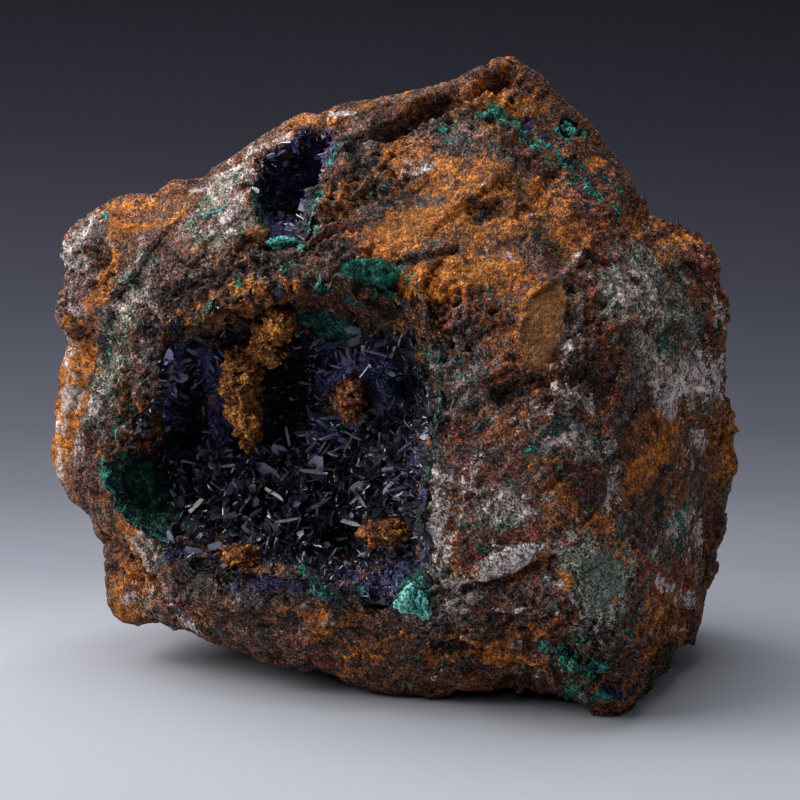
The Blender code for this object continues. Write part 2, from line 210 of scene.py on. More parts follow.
def faded(away, reach, strength):
    """A stroke's strength at a distance from it."""
    share = away / reach
    return strength * (1 - STROKE_FADE * share * share)


def stroke_mask(points, table, surface):
    """1 in the middle of any of a table's strokes, and 0 or less outside them."""
    mask = np.full(len(points), -1.0)
    for pixels, reach, strength in strokes(table):
        mask = np.maximum(mask, faded(path_distance(points, surface.path(pixels)), reach, strength))
    return mask


# Hollows, cracks and ledges of the front: a path, half its width and its depth in millimetres. Those with a
# depth under 0 stand out. The first are at the top slab, the next go down and around to the left side
CARVINGS = [
    (504, 78, 470, 94, 440, 108, 405, 122, 380, 134, 2.4, 7),
    (500, 68, 455, 86, 415, 104, 375, 122, 2.6, -2), (375, 134, 345, 142, 1.4, 1.6),
    (400, 262, 428, 258, 456, 250, 1.3, 1.5), (430, 232, 470, 205, 510, 178, 1.6, 1.2),
    (520, 215, 545, 190, 560, 165, 1.8, 1.4), (478, 214, 494, 208, 3.4, 2.6),
    (500, 396, 525, 386, 545, 378, 2.8, 3.2), (572, 290, 566, 330, 556, 364, 1.8, 1.2),
    (544, 300, 538, 350, 6.4, -1), (516, 335, 540, 300, 562, 280, 590, 240, 1.6, -1.4),
    (94, 236, 102, 262, 3.2, 4.2), (80, 285, 95, 298, 5, -2), (62, 312, 70, 326, 3.5, -2),
    (60, 338, 76, 342, 2, 2.2), (466, 590, 492, 585, 524, 572, 552, 556, 1.6, 2),
    (484, 566, 512, 556, 540, 550, 2.4, -0.8), (436, 652, 455, 648, 474, 656, 3.4, 3.6),
    (500, 690, 520, 682, 545, 690, 3, 3), (106, 540, 128, 560, 140, 580, 2.6, 3.2),
    (140, 560, 160, 590, 190, 622, 1.6, 1.6), (428, 356, 2.6, 2.6), (376, 601, 3.6, 4),
    (130, 410, 136, 418, 3.2, 3.2), (404, 286, 2, 2.2), (390, 300, 2, 2), (588, 580, 602, 590, 3, 2),
    (610, 330, 650, 318, 690, 322, 2.6, -1.5), (606, 470, 628, 440, 640, 400, 2.6, 1.8),
    (598, 300, 606, 380, 602, 450, 2.4, 1.2), (560, 640, 590, 668, 610, 690, 2, 2),
    (612, 640, 640, 668, 3, -1.4), (330, 215, 352, 232, 372, 252, 2.4, 1.6),
    (352, 150, 372, 166, 396, 170, 2.2, 1.3), (240, 188, 282, 150, 330, 130, 2, -1.2),
    (176, 196, 200, 205, 3, 1.8), (200, 596, 260, 604, 330, 618, 2.6, -1.4),
    (230, 622, 290, 634, 350, 646, 2.4, 1.6), (86, 340, 76, 400, 70, 450, 2.4, 1.6),
    (104, 330, 96, 400, 90, 440, 2.4, -1.2),
]  # fmt: skip

# Where the rock is layered: a path and its reach in millimetres
LAYERED = [
    (440, 560, 480, 500, 540, 430, 17), (450, 620, 560, 640, 13), (600, 280, 610, 420, 14),
    (80, 340, 80, 440, 12), (420, 330, 470, 440, 12), (560, 480, 640, 600, 12),
]  # fmt: skip

# The rims of the vugs in the front view, as in the part's source: pixels across and down, and millimetres
# towards the viewer
RIMS = [
    [
        (170, 345, 20), (200, 320, 24), (260, 300, 32), (330, 288, 38), (390, 283, 42), (425, 310, 46),
        (440, 350, 49), (440, 400, 50), (432, 440, 50), (422, 480, 50), (418, 530, 47), (420, 590, 42),
        (385, 608, 38), (340, 592, 33), (290, 566, 28), (230, 572, 24), (180, 562, 17), (160, 535, 12),
        (115, 495, 4), (105, 460, 4), (140, 440, 12), (158, 400, 17), (162, 370, 18), (170, 345, 20),
    ],
    [
        (257, 180, 10), (290, 150, 4), (315, 138, 3), (343, 142, 6), (338, 157, 9), (320, 175, 13),
        (307, 195, 17), (308, 225, 21), (298, 240, 23), (270, 240, 21), (262, 215, 17), (258, 195, 12),
        (257, 180, 10),
    ],
]  # fmt: skip
MAIN_RIM, UPPER_RIM = RIMS
MAIN_ROOF, MAIN_WALL, UPPER_WALL = MAIN_RIM[1:6], MAIN_RIM[6:11], UPPER_RIM[4:8]
RIM_REACH = 7.0

# How far the roof hangs over the vug and how far the right walls lean into the vugs, in millimetres
ROOF_SAG = 4.2
WALL_LEAN = 2.6
UPPER_LEAN = 2.4

# Deep pockets of the main vug: a path, half its width and its extra depth in millimetres
POCKETS = [
    (192, 350, 190, 390, 198, 430, 6, 9), (288, 350, 296, 390, 290, 425, 5.5, 10),
    (345, 535, 352, 560, 5, 7), (410, 388, 428, 384, 5, 7), (250, 520, 270, 500, 3, 3), (376, 601, 3, 4),
    (300, 500, 330, 490, 3.5, 3), (380, 300, 394, 310, 3, 4), (225, 335, 240, 330, 3.5, 4),
    (130, 412, 2, 2), (404, 430, 415, 420, 3, 3),
]  # fmt: skip

# Ribs and knolls of the main druse: a path, half its width and its height in millimetres
RIBS = [
    (206, 350, 210, 380, 213, 415, 210, 458, 3, 9), (176, 336, 171, 372, 180, 412, 3.4, 4.5),
    (330, 378, 352, 372, 380, 372, 2.6, 3.5), (300, 420, 330, 428, 352, 430, 2.6, 3),
    (336, 392, 356, 402, 376, 404, 5.5, 3.4), (196, 556, 260, 566, 320, 572, 3.5, 1.8),
]  # fmt: skip


def rim_distance(points, rim):
    return path_distance(points, [sighted(*place) for place in rim])


def nearest_rim(points):
    return np.min([rim_distance(points, rim) for rim in RIMS], axis=0)


def ragged_rims(points):
    """Moves points near a rim by noise, so that the vug's mouth is broken and not smooth."""
    share = smooth_step(nearest_rim(points), RIM_REACH, RIM_REACH * 0.2)[:, None]
    seeds = (101, 111, 121)
    rough = [waves(points, 7.0, seed) * 2.2 + cloudy(points, 3.2, seed + 4, 3) * 1.8 for seed in seeds]
    roof = smooth_step(rim_distance(points, MAIN_ROOF), 10.0, 2.0)
    wall = smooth_step(rim_distance(points, MAIN_WALL), 8.0, 2.0)
    sag = roof * np.clip(cloudy(points, 9.0, 127, 2) + 0.35, 0, 1.2) * ROOF_SAG
    lean = wall * np.clip(cloudy(points, 7.0, 128, 2) + 0.2, 0, 1.2) * WALL_LEAN
    lean += smooth_step(rim_distance(points, UPPER_WALL), 6.0, 1.5) * UPPER_LEAN
    return points + np.stack(rough, 1) * share - np.outer(sag, UPWARD) - np.outer(lean, ACROSS)


def flattened(points):
    """Points with their distance along the view cut short: a thing's front and back count as near."""
    return points - np.outer(np.asarray(points) @ TOWARD, TOWARD) * 0.72


def pocket_depth(points, surface, table):
    """How much deeper or higher the vug's wall lies, in its pockets or ribs."""
    depth = np.zeros(len(points))
    ragged = cloudy(points, 5.0, 131, 2) * 1.2
    flat = flattened(points)
    for pixels, width, deeper in strokes(table):
        away = path_distance(flat, flattened(surface.path(pixels))) + ragged
        share = np.clip(1 - (np.maximum(away, 0) / (width * 1.5)) ** 2, 0, 1) ** 1.2
        depth = np.maximum(depth, deeper * share)
    return depth


# Where the rock is broken and not flat, where it is made of crumbs, and where it is even: a path, its reach
# in millimetres and its strength
RUGGED = [
    (180, 330, 230, 285, 330, 270, 400, 262, 440, 300, 15, 1), (150, 340, 130, 420, 100, 470, 10, 1),
    (130, 580, 220, 610, 330, 640, 440, 650, 520, 680, 13, 0.45), (400, 120, 460, 105, 500, 80, 8, 0.9),
    (90, 240, 100, 290, 70, 330, 12, 1), (520, 380, 560, 360, 570, 320, 10, 0.8),
    (560, 640, 620, 690, 680, 640, 14, 0.9), (700, 240, 725, 320, 725, 440, 715, 560, 9, 0.9),
    (330, 190, 380, 170, 340, 230, 9, 0.7), (440, 580, 560, 570, 600, 600, 7, 0.9),
]  # fmt: skip
CRUMBLY = [
    (165, 325, 205, 300, 260, 290, 340, 284, 400, 284, 436, 320, 11, 1), (150, 410, 120, 440, 8, 0.9),
    (370, 180, 340, 215, 350, 240, 9, 0.7), (500, 110, 540, 170, 600, 210, 11, 0.3),
    (560, 660, 640, 670, 9, 0.3), (700, 250, 720, 300, 9, 0.4), (430, 640, 500, 670, 8, 0.3),
    (640, 430, 680, 490, 8, 0.4),
]  # fmt: skip
EVEN = [
    (68, 350, 60, 400, 54, 450, 11, 1), (390, 225, 440, 235, 490, 270, 12, 0.6),
    (120, 210, 180, 200, 240, 186, 9, 0.6), (544, 300, 538, 350, 5, 0.9),
    (440, 470, 500, 460, 540, 500, 12, 0.6), (470, 574, 530, 556, 5, 0.9), (640, 440, 680, 500, 10, 0.5),
    (220, 625, 330, 655, 400, 665, 9, 0.5), (590, 570, 612, 600, 6, 0.7),
]  # fmt: skip

# Flat broken faces with sharp edges: their corners and how far they stand out, in millimetres
FACETS = {
    "olive": (528, 300, 560, 280, 568, 300, 561, 345, 541, 373, 524, 362, 519, 335, 0.9),
    "quartz": (478, 581, 478, 562, 495, 552, 521, 542, 546, 547, 521, 569, 491, 581, 1.3),
    "mint": (575, 562, 602, 550, 625, 564, 621, 592, 602, 611, 581, 597, 0.5),
    "maroon": (588, 474, 604, 470, 608, 496, 596, 512, 578, 508, 0.4),
}
FACET_DEPTH = 14.0
MOST_CUT = 2.5


def facet_share(points, corners):
    """1 inside a facet, 0 outside it, and the facet's plane as a point and a normal."""
    across, down = picture_of(points)
    places = np.array(rock_surface.path(corners))
    centre = places.mean(0)
    normal = np.linalg.svd(places - centre)[2][2]
    normal = normal * np.sign(normal @ TOWARD)
    inside = np.full(len(points), 99.0)
    for (x0, y0), (x1, y1) in zip(corners, corners[1:] + corners[:1]):
        away = ((x1 - x0) * (down - y0) - (y1 - y0) * (across - x0)) / math.hypot(x1 - x0, y1 - y0)
        inside = np.minimum(inside, away * PIXEL)
    inside += cloudy(points, 2.4, 141, 3) * 0.7
    near = np.abs((points - centre) @ TOWARD) < FACET_DEPTH
    return smooth_step(inside, -0.35, 0.35) * near, centre, normal


def layered(points):
    """1 where the rock is layered, and 0 elsewhere."""
    paths = strokes(LAYERED, 1)
    away = [path_distance(points, rock_surface.path(pixels)) / reach for pixels, reach in paths]
    return smooth_step(1 - np.min(away, axis=0), 0.0, 0.5)


def sculpt(points):
    """How far each point of the rock moves along its normal."""
    bend = np.stack([cloudy(points, 24, seed, 2) for seed in (11, 12, 13)], 1) * 2.2
    bent = points + bend
    turned = layer_frame(bent)
    rugged = smooth_step(stroke_mask(points, RUGGED, rock_surface), -0.2, 0.8)
    rugged = np.clip(0.3 + 0.75 * rugged + 0.3 * waves(points, 26.0, 29), 0.2, 1.1)
    depth = chips(turned / (1.7, 1.0, 0.8), 15, 21, 0.26, 0.06) * 5.6
    depth += chips(turned / (2.0, 1.0, 0.7), 6.5, 22, 0.5, 0.16) * 2.5 * rugged
    depth += chips(turned / (1.6, 1.0, 0.8), 3.0, 23, 0.5, 0.3) * 0.9 * rugged
    depth += cloudy(bent, 11, 24, 3) * 0.7 * (0.4 + 0.6 * rugged)
    depth += cloudy(points, 2.6, 27, 2, 0.7) * 0.34 * (0.4 + 0.8 * rugged)
    depth -= smooth_step(cloudy(points, 3.6, 36, 2), 0.42, 0.75) * 1.4 * rugged
    crumbly = smooth_step(stroke_mask(points, CRUMBLY, rock_surface), 0.0, 0.6)
    depth += crumbly * ((0.5 - lumps(points, 2.6, 38)) * 2.6 + cloudy(points, 1.9, 39, 2) * 0.8)
    depth *= 1 - 0.75 * smooth_step(stroke_mask(points, EVEN, rock_surface), 0.0, 0.7)
    ridges = 1 - np.abs(cloudy(turned / (4.5, 1.2, 1.0), 3.4, 31, 2))
    depth += layered(points) * (ridges - 0.6) * 1.1
    ragged = cloudy(points, 4.0, 41, 3) * 1.0
    for pixels, width, carved in strokes(CARVINGS):
        away = path_distance(points, rock_surface.path(pixels)) + ragged
        depth -= np.clip(1 - (np.maximum(away, 0) / (width * 1.25)) ** 2, 0, 1) ** 1.5 * carved
    for corners, stands_out in strokes(FACETS.values(), 1):
        share, centre, normal = facet_share(points, corners)
        flat = (centre - points) @ normal + stands_out + cloudy(points, 3.0, 143, 3) * 0.2
        depth += np.clip(flat - depth, -MOST_CUT, MOST_CUT) * share
    return depth


def layer_frame(points):
    """Coordinates along the layers, into the rock and across the layers."""
    along = ACROSS * math.cos(LAYER_TURN) + UPWARD * math.sin(LAYER_TURN)
    over = UPWARD * math.cos(LAYER_TURN) - ACROSS * math.sin(LAYER_TURN)
    return points @ np.stack([along, TOWARD, over], 1)


def mesh_points(mesh):
    points = np.empty(len(mesh.vertices) * 3, np.float32)
    mesh.vertices.foreach_get("co", points)
    return points.reshape(-1, 3) / MM


def mesh_normals(mesh):
    normals = np.empty(len(mesh.vertices) * 3, np.float32)
    mesh.vertex_normals.foreach_get("vector", normals)
    return normals.reshape(-1, 3)


def set_points(mesh, points):
    mesh.vertices.foreach_set("co", (points * MM).astype(np.float32).ravel())
    mesh.update()


def applied(obj):
    """Applies the object's modifiers."""
    bpy.context.view_layer.update()
    graph = bpy.context.evaluated_depsgraph_get()
    mesh = bpy.data.meshes.new_from_object(obj.evaluated_get(graph))
    obj.modifiers.clear()
    obj.vertex_groups.clear()
    old, obj.data = obj.data, mesh
    bpy.data.meshes.remove(old)


def new_object(name, data):
    obj = bpy.data.objects.new(name, data)
    bpy.context.scene.collection.objects.link(obj)
    return obj


def fine_copy(name, node, voxel, smoothing):
    """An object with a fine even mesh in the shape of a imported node, and its points and normals."""
    obj = new_object(name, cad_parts[node].data.copy())
    obj.data.materials.clear()
    remesh = obj.modifiers.new("Remesh", "REMESH")
    remesh.mode = "VOXEL"
    remesh.voxel_size = voxel * MM
    smooth = obj.modifiers.new("Smooth", "SMOOTH")
    smooth.iterations = smoothing
    smooth.factor = 0.7
    applied(obj)
    return obj, mesh_points(obj.data), mesh_normals(obj.data)


# The steps of a vertex group's weights, which decimation reads
WEIGHT_STEPS = 20


def thin_out(obj, triangles, kept):
    """Decimates to a number of triangles. Kept is each point's share of the detail."""
    obj.data.calc_loop_triangles()
    group = obj.vertex_groups.new(name="kept")
    steps = np.round(kept * WEIGHT_STEPS).astype(int)
    for step in range(1, WEIGHT_STEPS + 1):
        group.add(np.nonzero(steps == step)[0].tolist(), step / WEIGHT_STEPS, "REPLACE")
    decimate = obj.modifiers.new("Decimate", "DECIMATE")
    decimate.ratio = triangles / len(obj.data.loop_triangles)
    decimate.vertex_group = group.name
    decimate.invert_vertex_group = True
    decimate.vertex_group_factor = 1.0
    applied(obj)


def neighbour_mean(mesh, values):
    """The mean of the values at each point's neighbours."""
    ends = np.empty(len(mesh.edges) * 2, np.int32)
    mesh.edges.foreach_get("vertices", ends)
    starts, ends = ends.reshape(-1, 2).T
    count = np.bincount(starts, minlength=len(values)) + np.bincount(ends, minlength=len(values))
    columns = []
    for column in values.T:
        total = np.bincount(starts, column[ends], len(values))
        total += np.bincount(ends, column[starts], len(values))
        columns.append(total / np.maximum(count, 1))
    return np.stack(columns, 1)


def standing_out(mesh, height, rounds=3):
    """0 in hollows to 1 on bumps. Height is how far a hollow and a bump are apart, in millimetres."""
    points = mesh_points(mesh)
    mean = points
    for _ in range(rounds):
        mean = neighbour_mean(mesh, mean)
    return np.clip(0.5 + ((points - mean) * mesh_normals(mesh)).sum(1) / height, 0, 1)


def store(mesh, name, *channels):
    """Up to four masks of 0 to 1 as one colour attribute."""
    colours = np.zeros((len(mesh.vertices), 4), np.float32)
    for number, channel in enumerate(channels):
        colours[:, number] = channel
    mesh.attributes.new(name, "FLOAT_COLOR", "POINT").data.foreach_set("color", colours.ravel())


def new_piece(obj, material, replaced=None):
    obj.data.materials.append(material)
    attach(obj, "root")
    if replaced:
        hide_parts(replaced)


# Minerals of the front: a path, its reach in millimetres and its strength
MINERALS = {
    "ochre": [
        (72, 345, 62, 400, 56, 462, 5, 0.9), (112, 256, 100, 300, 96, 345, 4, 0.7),
        (130, 520, 124, 600, 5, 0.5), (544, 296, 538, 352, 5.5, 0.9),
        (400, 160, 450, 180, 520, 190, 560, 230, 9, 0.55), (480, 96, 530, 110, 5, 0.6),
        (60, 340, 64, 470, 7, 0.6), (340, 200, 376, 240, 6, 0.5), (150, 226, 182, 214, 1.6, 0.9),
        (110, 226, 140, 232, 168, 222, 2.2, 1), (280, 138, 330, 116, 372, 104, 2, 0.9),
        (380, 240, 410, 225, 455, 210, 6.5, 0.9), (415, 290, 450, 276, 500, 268, 6, 1.1),
        (470, 240, 520, 225, 6, 0.6), (300, 125, 340, 112, 4, 0.8), (64, 380, 75, 430, 5, 0.9),
        (90, 340, 84, 400, 5.5, 0.7), (640, 236, 690, 240, 4, 0.5), (110, 206, 180, 196, 4, 0.45),
        (430, 660, 480, 650, 540, 640, 3, 0.7), (600, 700, 650, 660, 6, 0.55), (600, 520, 620, 560, 3, 0.6),
        (546, 560, 566, 584, 2.4, 0.8), (460, 640, 500, 660, 520, 650, 3, 0.6),
        (640, 640, 680, 620, 7, 0.3), (500, 440, 560, 500, 6, 0.3), (660, 610, 690, 640, 6, 0.45),
        (670, 430, 640, 470, 6, 0.8), (120, 580, 130, 620, 5, 0.7), (590, 166, 600, 160, 1.6, 1),
        (606, 600, 616, 596, 2, 1), (530, 300, 545, 350, 4, 0.6), (420, 110, 480, 84, 3, 0.6),
        (300, 610, 380, 650, 5, 0.4), (200, 300, 240, 290, 3, 0.8), (160, 440, 118, 456, 3, 0.7),
        (256, 292, 290, 300, 300, 290, 3.2, 0.9), (206, 318, 232, 322, 2.4, 0.9),
        (372, 300, 384, 318, 3, 0.5),
    ],
    "mauve": [
        (75, 215, 70, 260, 64, 320, 7, 1), (168, 590, 190, 622, 3.4, 0.9), (58, 440, 64, 490, 5, 0.7),
        (420, 150, 560, 200, 540, 250, 6, 0.5), (80, 240, 100, 290, 120, 320, 8, 0.9),
        (170, 250, 220, 285, 190, 320, 9, 0.8), (350, 140, 420, 130, 480, 130, 6, 0.6),
        (450, 330, 470, 420, 450, 500, 8, 0.7), (600, 290, 660, 290, 9, 0.7), (620, 520, 640, 560, 7, 0.4),
        (200, 610, 300, 660, 7, 0.4), (250, 120, 310, 118, 4, 0.6), (420, 560, 500, 520, 7, 0.6),
        (60, 480, 90, 520, 6, 0.7), (150, 380, 140, 330, 6, 0.7), (500, 440, 540, 500, 7, 0.5),
        (640, 380, 600, 340, 7, 0.6),
    ],
    "grey": [
        (110, 300, 104, 360, 100, 430, 5, 0.8), (180, 300, 215, 290, 250, 262, 7, 0.5),
        (150, 340, 140, 380, 6, 0.6), (450, 140, 480, 160, 440, 200, 7, 0.6),
        (440, 340, 470, 400, 450, 460, 9, 0.7), (560, 300, 570, 380, 7, 0.8),
        (620, 260, 670, 330, 700, 370, 12, 0.8), (430, 480, 500, 500, 560, 440, 10, 0.7),
        (600, 520, 650, 560, 8, 0.6), (190, 585, 260, 590, 330, 604, 5, 0.9),
        (400, 620, 480, 610, 560, 600, 7, 0.6), (560, 560, 600, 610, 640, 620, 9, 0.7),
        (620, 400, 640, 380, 7, 0.6), (240, 640, 330, 660, 6, 0.5), (700, 480, 700, 560, 8, 0.5),
        (100, 280, 130, 300, 6, 0.4),
    ],
    "maroon": [
        (596, 240, 604, 330, 598, 420, 596, 500, 6, 0.9), (580, 480, 590, 505, 6, 0.9),
        (640, 580, 690, 590, 6, 0.8), (470, 556, 500, 536, 530, 530, 2.6, 1),
        (560, 480, 600, 470, 606, 510, 5, 0.8), (640, 560, 660, 600, 690, 610, 3, 1),
        (430, 400, 460, 440, 6, 0.6), (600, 230, 640, 220, 6, 0.5), (230, 272, 330, 262, 390, 250, 7, 0.7),
        (560, 180, 620, 240, 7, 0.5), (400, 330, 440, 320, 6, 0.5), (350, 180, 400, 210, 5, 0.4),
        (480, 600, 540, 620, 6, 0.5), (250, 640, 340, 670, 6, 0.5), (700, 260, 710, 300, 5, 0.7),
        (150, 330, 180, 300, 5, 0.4), (470, 480, 530, 420, 6, 0.5),
    ],
    "pale": [
        (66, 335, 54, 440, 62, 480, 3, 0.6), (120, 300, 150, 300, 165, 318, 3, 0.8),
        (440, 470, 432, 560, 3, 0.8), (490, 500, 540, 490, 5, 0.45), (136, 545, 160, 590, 196, 632, 2, 0.9),
        (163, 583, 182, 606, 200, 634, 1.1, 1.1), (560, 395, 585, 400, 3, 0.7),
        (480, 572, 505, 566, 540, 552, 2, 0.6), (436, 590, 470, 582, 2.4, 0.8),
        (664, 392, 690, 376, 715, 372, 6.5, 1), (70, 350, 66, 420, 80, 450, 5, 0.55),
        (225, 200, 240, 180, 232, 225, 5, 0.8), (628, 300, 640, 276, 652, 296, 4, 0.7),
        (640, 340, 652, 350, 4, 0.6), (548, 420, 570, 440, 4, 0.5), (560, 340, 566, 362, 3, 0.7),
        (716, 300, 722, 330, 3, 0.8), (612, 458, 606, 508, 1.8, 0.9), (398, 172, 424, 164, 3, 0.7),
        (545, 578, 575, 602, 604, 640, 1.1, 0.9), (430, 470, 450, 540, 6, 0.5),
        (600, 560, 620, 600, 4, 0.5), (95, 412, 100, 400, 2.5, 0.9),
        (110, 474, 150, 545, 190, 618, 1.4, 0.8), (250, 150, 300, 128, 360, 112, 1.6, 0.8),
        (205, 190, 235, 168, 4.5, 0.7), (68, 262, 90, 226, 5, 0.75), (84, 270, 76, 300, 4, 0.6),
        (516, 335, 545, 296, 588, 242, 1, 0.9), (476, 182, 486, 180, 1.2, 0.9),
        (696, 430, 704, 446, 3.5, 0.8), (672, 528, 688, 556, 3.5, 0.8), (694, 468, 690, 476, 2.5, 0.7),
        (150, 300, 140, 260, 3, 0.7), (440, 480, 436, 540, 2.5, 0.5), (120, 600, 150, 590, 1.4, 0.6),
        (452, 470, 444, 520, 436, 566, 1, 1), (468, 466, 458, 520, 448, 560, 0.9, 0.9),
        (484, 440, 470, 490, 0.9, 0.8), (432, 575, 470, 600, 2.6, 0.9), (446, 604, 470, 612, 1.6, 0.8),
        (560, 590, 590, 616, 610, 650, 0.9, 1), (612, 440, 618, 500, 2, 0.9), (682, 512, 698, 530, 3, 0.9),
        (664, 586, 690, 600, 2.2, 0.9), (520, 500, 530, 520, 1.6, 0.7), (500, 610, 560, 612, 1.2, 0.6),
    ],
    "sage": [
        (430, 500, 450, 590, 4, 0.6), (150, 600, 162, 625, 2.6, 1), (120, 330, 100, 380, 88, 430, 3, 0.8),
        (500, 520, 530, 515, 3, 0.8), (140, 262, 124, 320, 104, 390, 4.5, 1),
        (215, 205, 236, 172, 5.5, 1.1), (232, 230, 214, 250, 4, 0.7), (690, 400, 650, 352, 5, 0.5),
        (628, 300, 650, 350, 690, 340, 10, 0.8), (580, 565, 602, 600, 618, 570, 7, 1.2),
        (590, 640, 620, 620, 5, 0.7), (640, 260, 680, 290, 7, 0.6), (575, 410, 610, 460, 6, 0.6),
        (690, 520, 660, 550, 5, 0.7), (130, 470, 160, 560, 4, 0.5), (200, 240, 180, 210, 5, 0.5),
    ],
    "malachite": [
        (480, 110, 500, 114, 520, 126, 2.6, 1.2), (430, 128, 470, 118, 1.3, 1.1),
        (448, 140, 500, 148, 1.2, 0.7), (660, 512, 686, 520, 676, 548, 4, 0.6),
        (650, 590, 668, 560, 1.4, 0.8), (640, 600, 620, 650, 2.4, 0.6), (592, 402, 604, 430, 2, 0.6),
        (662, 338, 664, 342, 2, 0.8), (716, 300, 722, 380, 2, 0.5), (520, 126, 545, 148, 2, 1.3),
        (545, 148, 575, 174, 602, 200, 618, 210, 1.6, 1.4),
        (505, 122, 530, 142, 560, 172, 590, 204, 1.2, 1.2), (540, 150, 560, 158, 590, 168, 1.1, 1.2),
        (256, 182, 262, 205, 268, 228, 1.5, 1.3),
        (555, 130, 568, 122, 583, 131, 568, 138, 555, 130, 1.3, 1.2),
        (590, 172, 612, 186, 636, 206, 1.4, 1.1), (262, 184, 270, 165, 294, 152, 1.6, 1.1),
        (258, 200, 262, 226, 276, 244, 298, 244, 1.8, 1.2),
        (318, 202, 323, 184, 331, 166, 341, 148, 1.6, 1.5), (311, 234, 315, 206, 1.3, 1.3),
        (300, 330, 322, 318, 346, 330, 3.4, 1), (346, 272, 368, 262, 398, 274, 2.8, 1),
        (236, 300, 240, 282, 1.8, 0.8), (420, 352, 432, 346, 438, 358, 1.4, 1),
        (438, 345, 440, 400, 434, 470, 1.5, 1.25), (412, 600, 424, 588, 4, 1.2),
        (425, 614, 456, 629, 1.3, 1), (300, 566, 318, 586, 334, 598, 2.6, 0.9),
        (364, 598, 374, 610, 390, 606, 1.4, 1.1), (102, 462, 112, 490, 136, 520, 164, 540, 2.4, 1.2),
        (118, 446, 128, 402, 2.4, 0.8), (560, 412, 556, 430, 1.8, 0.9),
        (586, 426, 596, 440, 602, 456, 1.1, 1), (676, 440, 680, 470, 1.1, 0.9),
        (690, 480, 716, 470, 1.4, 0.6), (560, 655, 592, 670, 572, 694, 5, 1), (540, 650, 580, 644, 3, 0.9),
        (586, 690, 604, 700, 3.4, 0.9), (672, 656, 692, 642, 2, 0.9), (254, 630, 262, 628, 1.6, 0.9),
        (134, 284, 138, 270, 1.4, 0.7), (112, 352, 98, 400, 1.2, 0.6), (655, 530, 668, 500, 1.2, 0.6),
        (700, 300, 712, 290, 1.6, 0.5), (470, 430, 486, 424, 1.6, 0.6), (215, 312, 206, 300, 1.4, 0.7),
        (600, 600, 630, 640, 2, 0.6), (530, 450, 536, 446, 1.4, 1), (556, 470, 566, 474, 1.4, 0.9),
        (500, 520, 512, 526, 1.6, 0.8), (482, 546, 486, 552, 1.4, 0.9),
        (674, 520, 690, 512, 684, 540, 2.4, 0.8), (706, 560, 712, 590, 2, 0.7),
        (690, 600, 684, 620, 2, 0.8), (480, 626, 520, 620, 1.6, 0.6), (205, 215, 232, 200, 1.4, 0.8),
        (250, 160, 236, 178, 1.2, 0.7), (148, 384, 160, 370, 1.4, 0.7), (450, 360, 470, 352, 1.2, 0.5),
        (320, 284, 346, 290, 360, 300, 2.6, 0.9), (286, 268, 300, 284, 2, 0.8),
        (408, 268, 420, 290, 432, 300, 2.2, 0.8), (196, 300, 204, 310, 1.6, 0.7),
    ],
    "azurite": [
        (524, 122, 544, 138, 556, 150, 2.2, 1), (556, 142, 575, 150, 2.4, 0.7),
        (586, 700, 640, 676, 5, 0.6), (300, 160, 338, 144, 318, 176, 3, 0.8),
        (575, 160, 600, 196, 1.2, 0.7), (616, 692, 632, 686, 2.6, 0.9), (640, 676, 650, 664, 2, 0.8),
        (180, 340, 172, 380, 2.6, 0.8), (590, 706, 610, 712, 2.5, 0.8), (340, 592, 400, 606, 3.4, 1),
        (172, 552, 236, 582, 300, 584, 350, 600, 3.4, 1.05), (150, 345, 175, 322, 2.6, 0.8),
        (320, 150, 316, 170, 2, 0.8), (296, 240, 302, 232, 1.8, 0.9), (556, 404, 560, 420, 1.4, 0.6),
        (300, 286, 330, 284, 2.4, 0.6), (430, 400, 436, 450, 1.6, 0.6), (170, 400, 150, 430, 2.4, 0.6),
    ],
    # Dark patches; those in the crack under the top slab, in pits and hollows and under ledges are painted
    # shade
    "dark": [
        (205, 302, 250, 275, 330, 276, 392, 264, 8, 1), (158, 305, 190, 320, 8, 0.9),
        (360, 150, 395, 180, 372, 210, 6, 0.85), (215, 288, 260, 262, 330, 258, 5, 0.9),
        (410, 296, 436, 330, 4, 0.7), (130, 340, 150, 400, 140, 440, 6, 0.35),
        (250, 612, 330, 630, 400, 650, 6, 0.5), (600, 650, 660, 680, 8, 0.7),
        (395, 284, 405, 292, 2.4, 1.1), (340, 296, 356, 312, 2.6, 0.9), (262, 300, 270, 296, 2, 0.8),
        (470, 640, 560, 690, 7, 0.5), (148, 350, 136, 400, 4, 0.25), (590, 660, 640, 690, 9, 0.7),
        (430, 645, 530, 680, 8, 0.6), (220, 640, 340, 676, 8, 0.45),
        (380, 136, 420, 122, 462, 100, 2.6, 1.1), (400, 126, 440, 110, 2.4, 0.9),
        (480, 210, 496, 206, 3, 0.9), (500, 392, 545, 376, 3.4, 0.8), (94, 240, 102, 262, 3.4, 0.8),
        (300, 260, 340, 240, 360, 190, 6, 0.5), (230, 250, 250, 280, 4, 0.5),
        (490, 590, 530, 578, 1.2, 0.8), (410, 300, 440, 330, 4, 0.6), (470, 150, 520, 170, 7, 0.5),
        (540, 230, 580, 250, 6, 0.5), (570, 470, 590, 500, 5, 0.6), (200, 590, 330, 600, 2.6, 0.7),
        (150, 620, 240, 640, 3, 0.4), (560, 340, 590, 380, 6, 0.5), (640, 500, 700, 560, 6, 0.3),
    ],
}  # fmt: skip

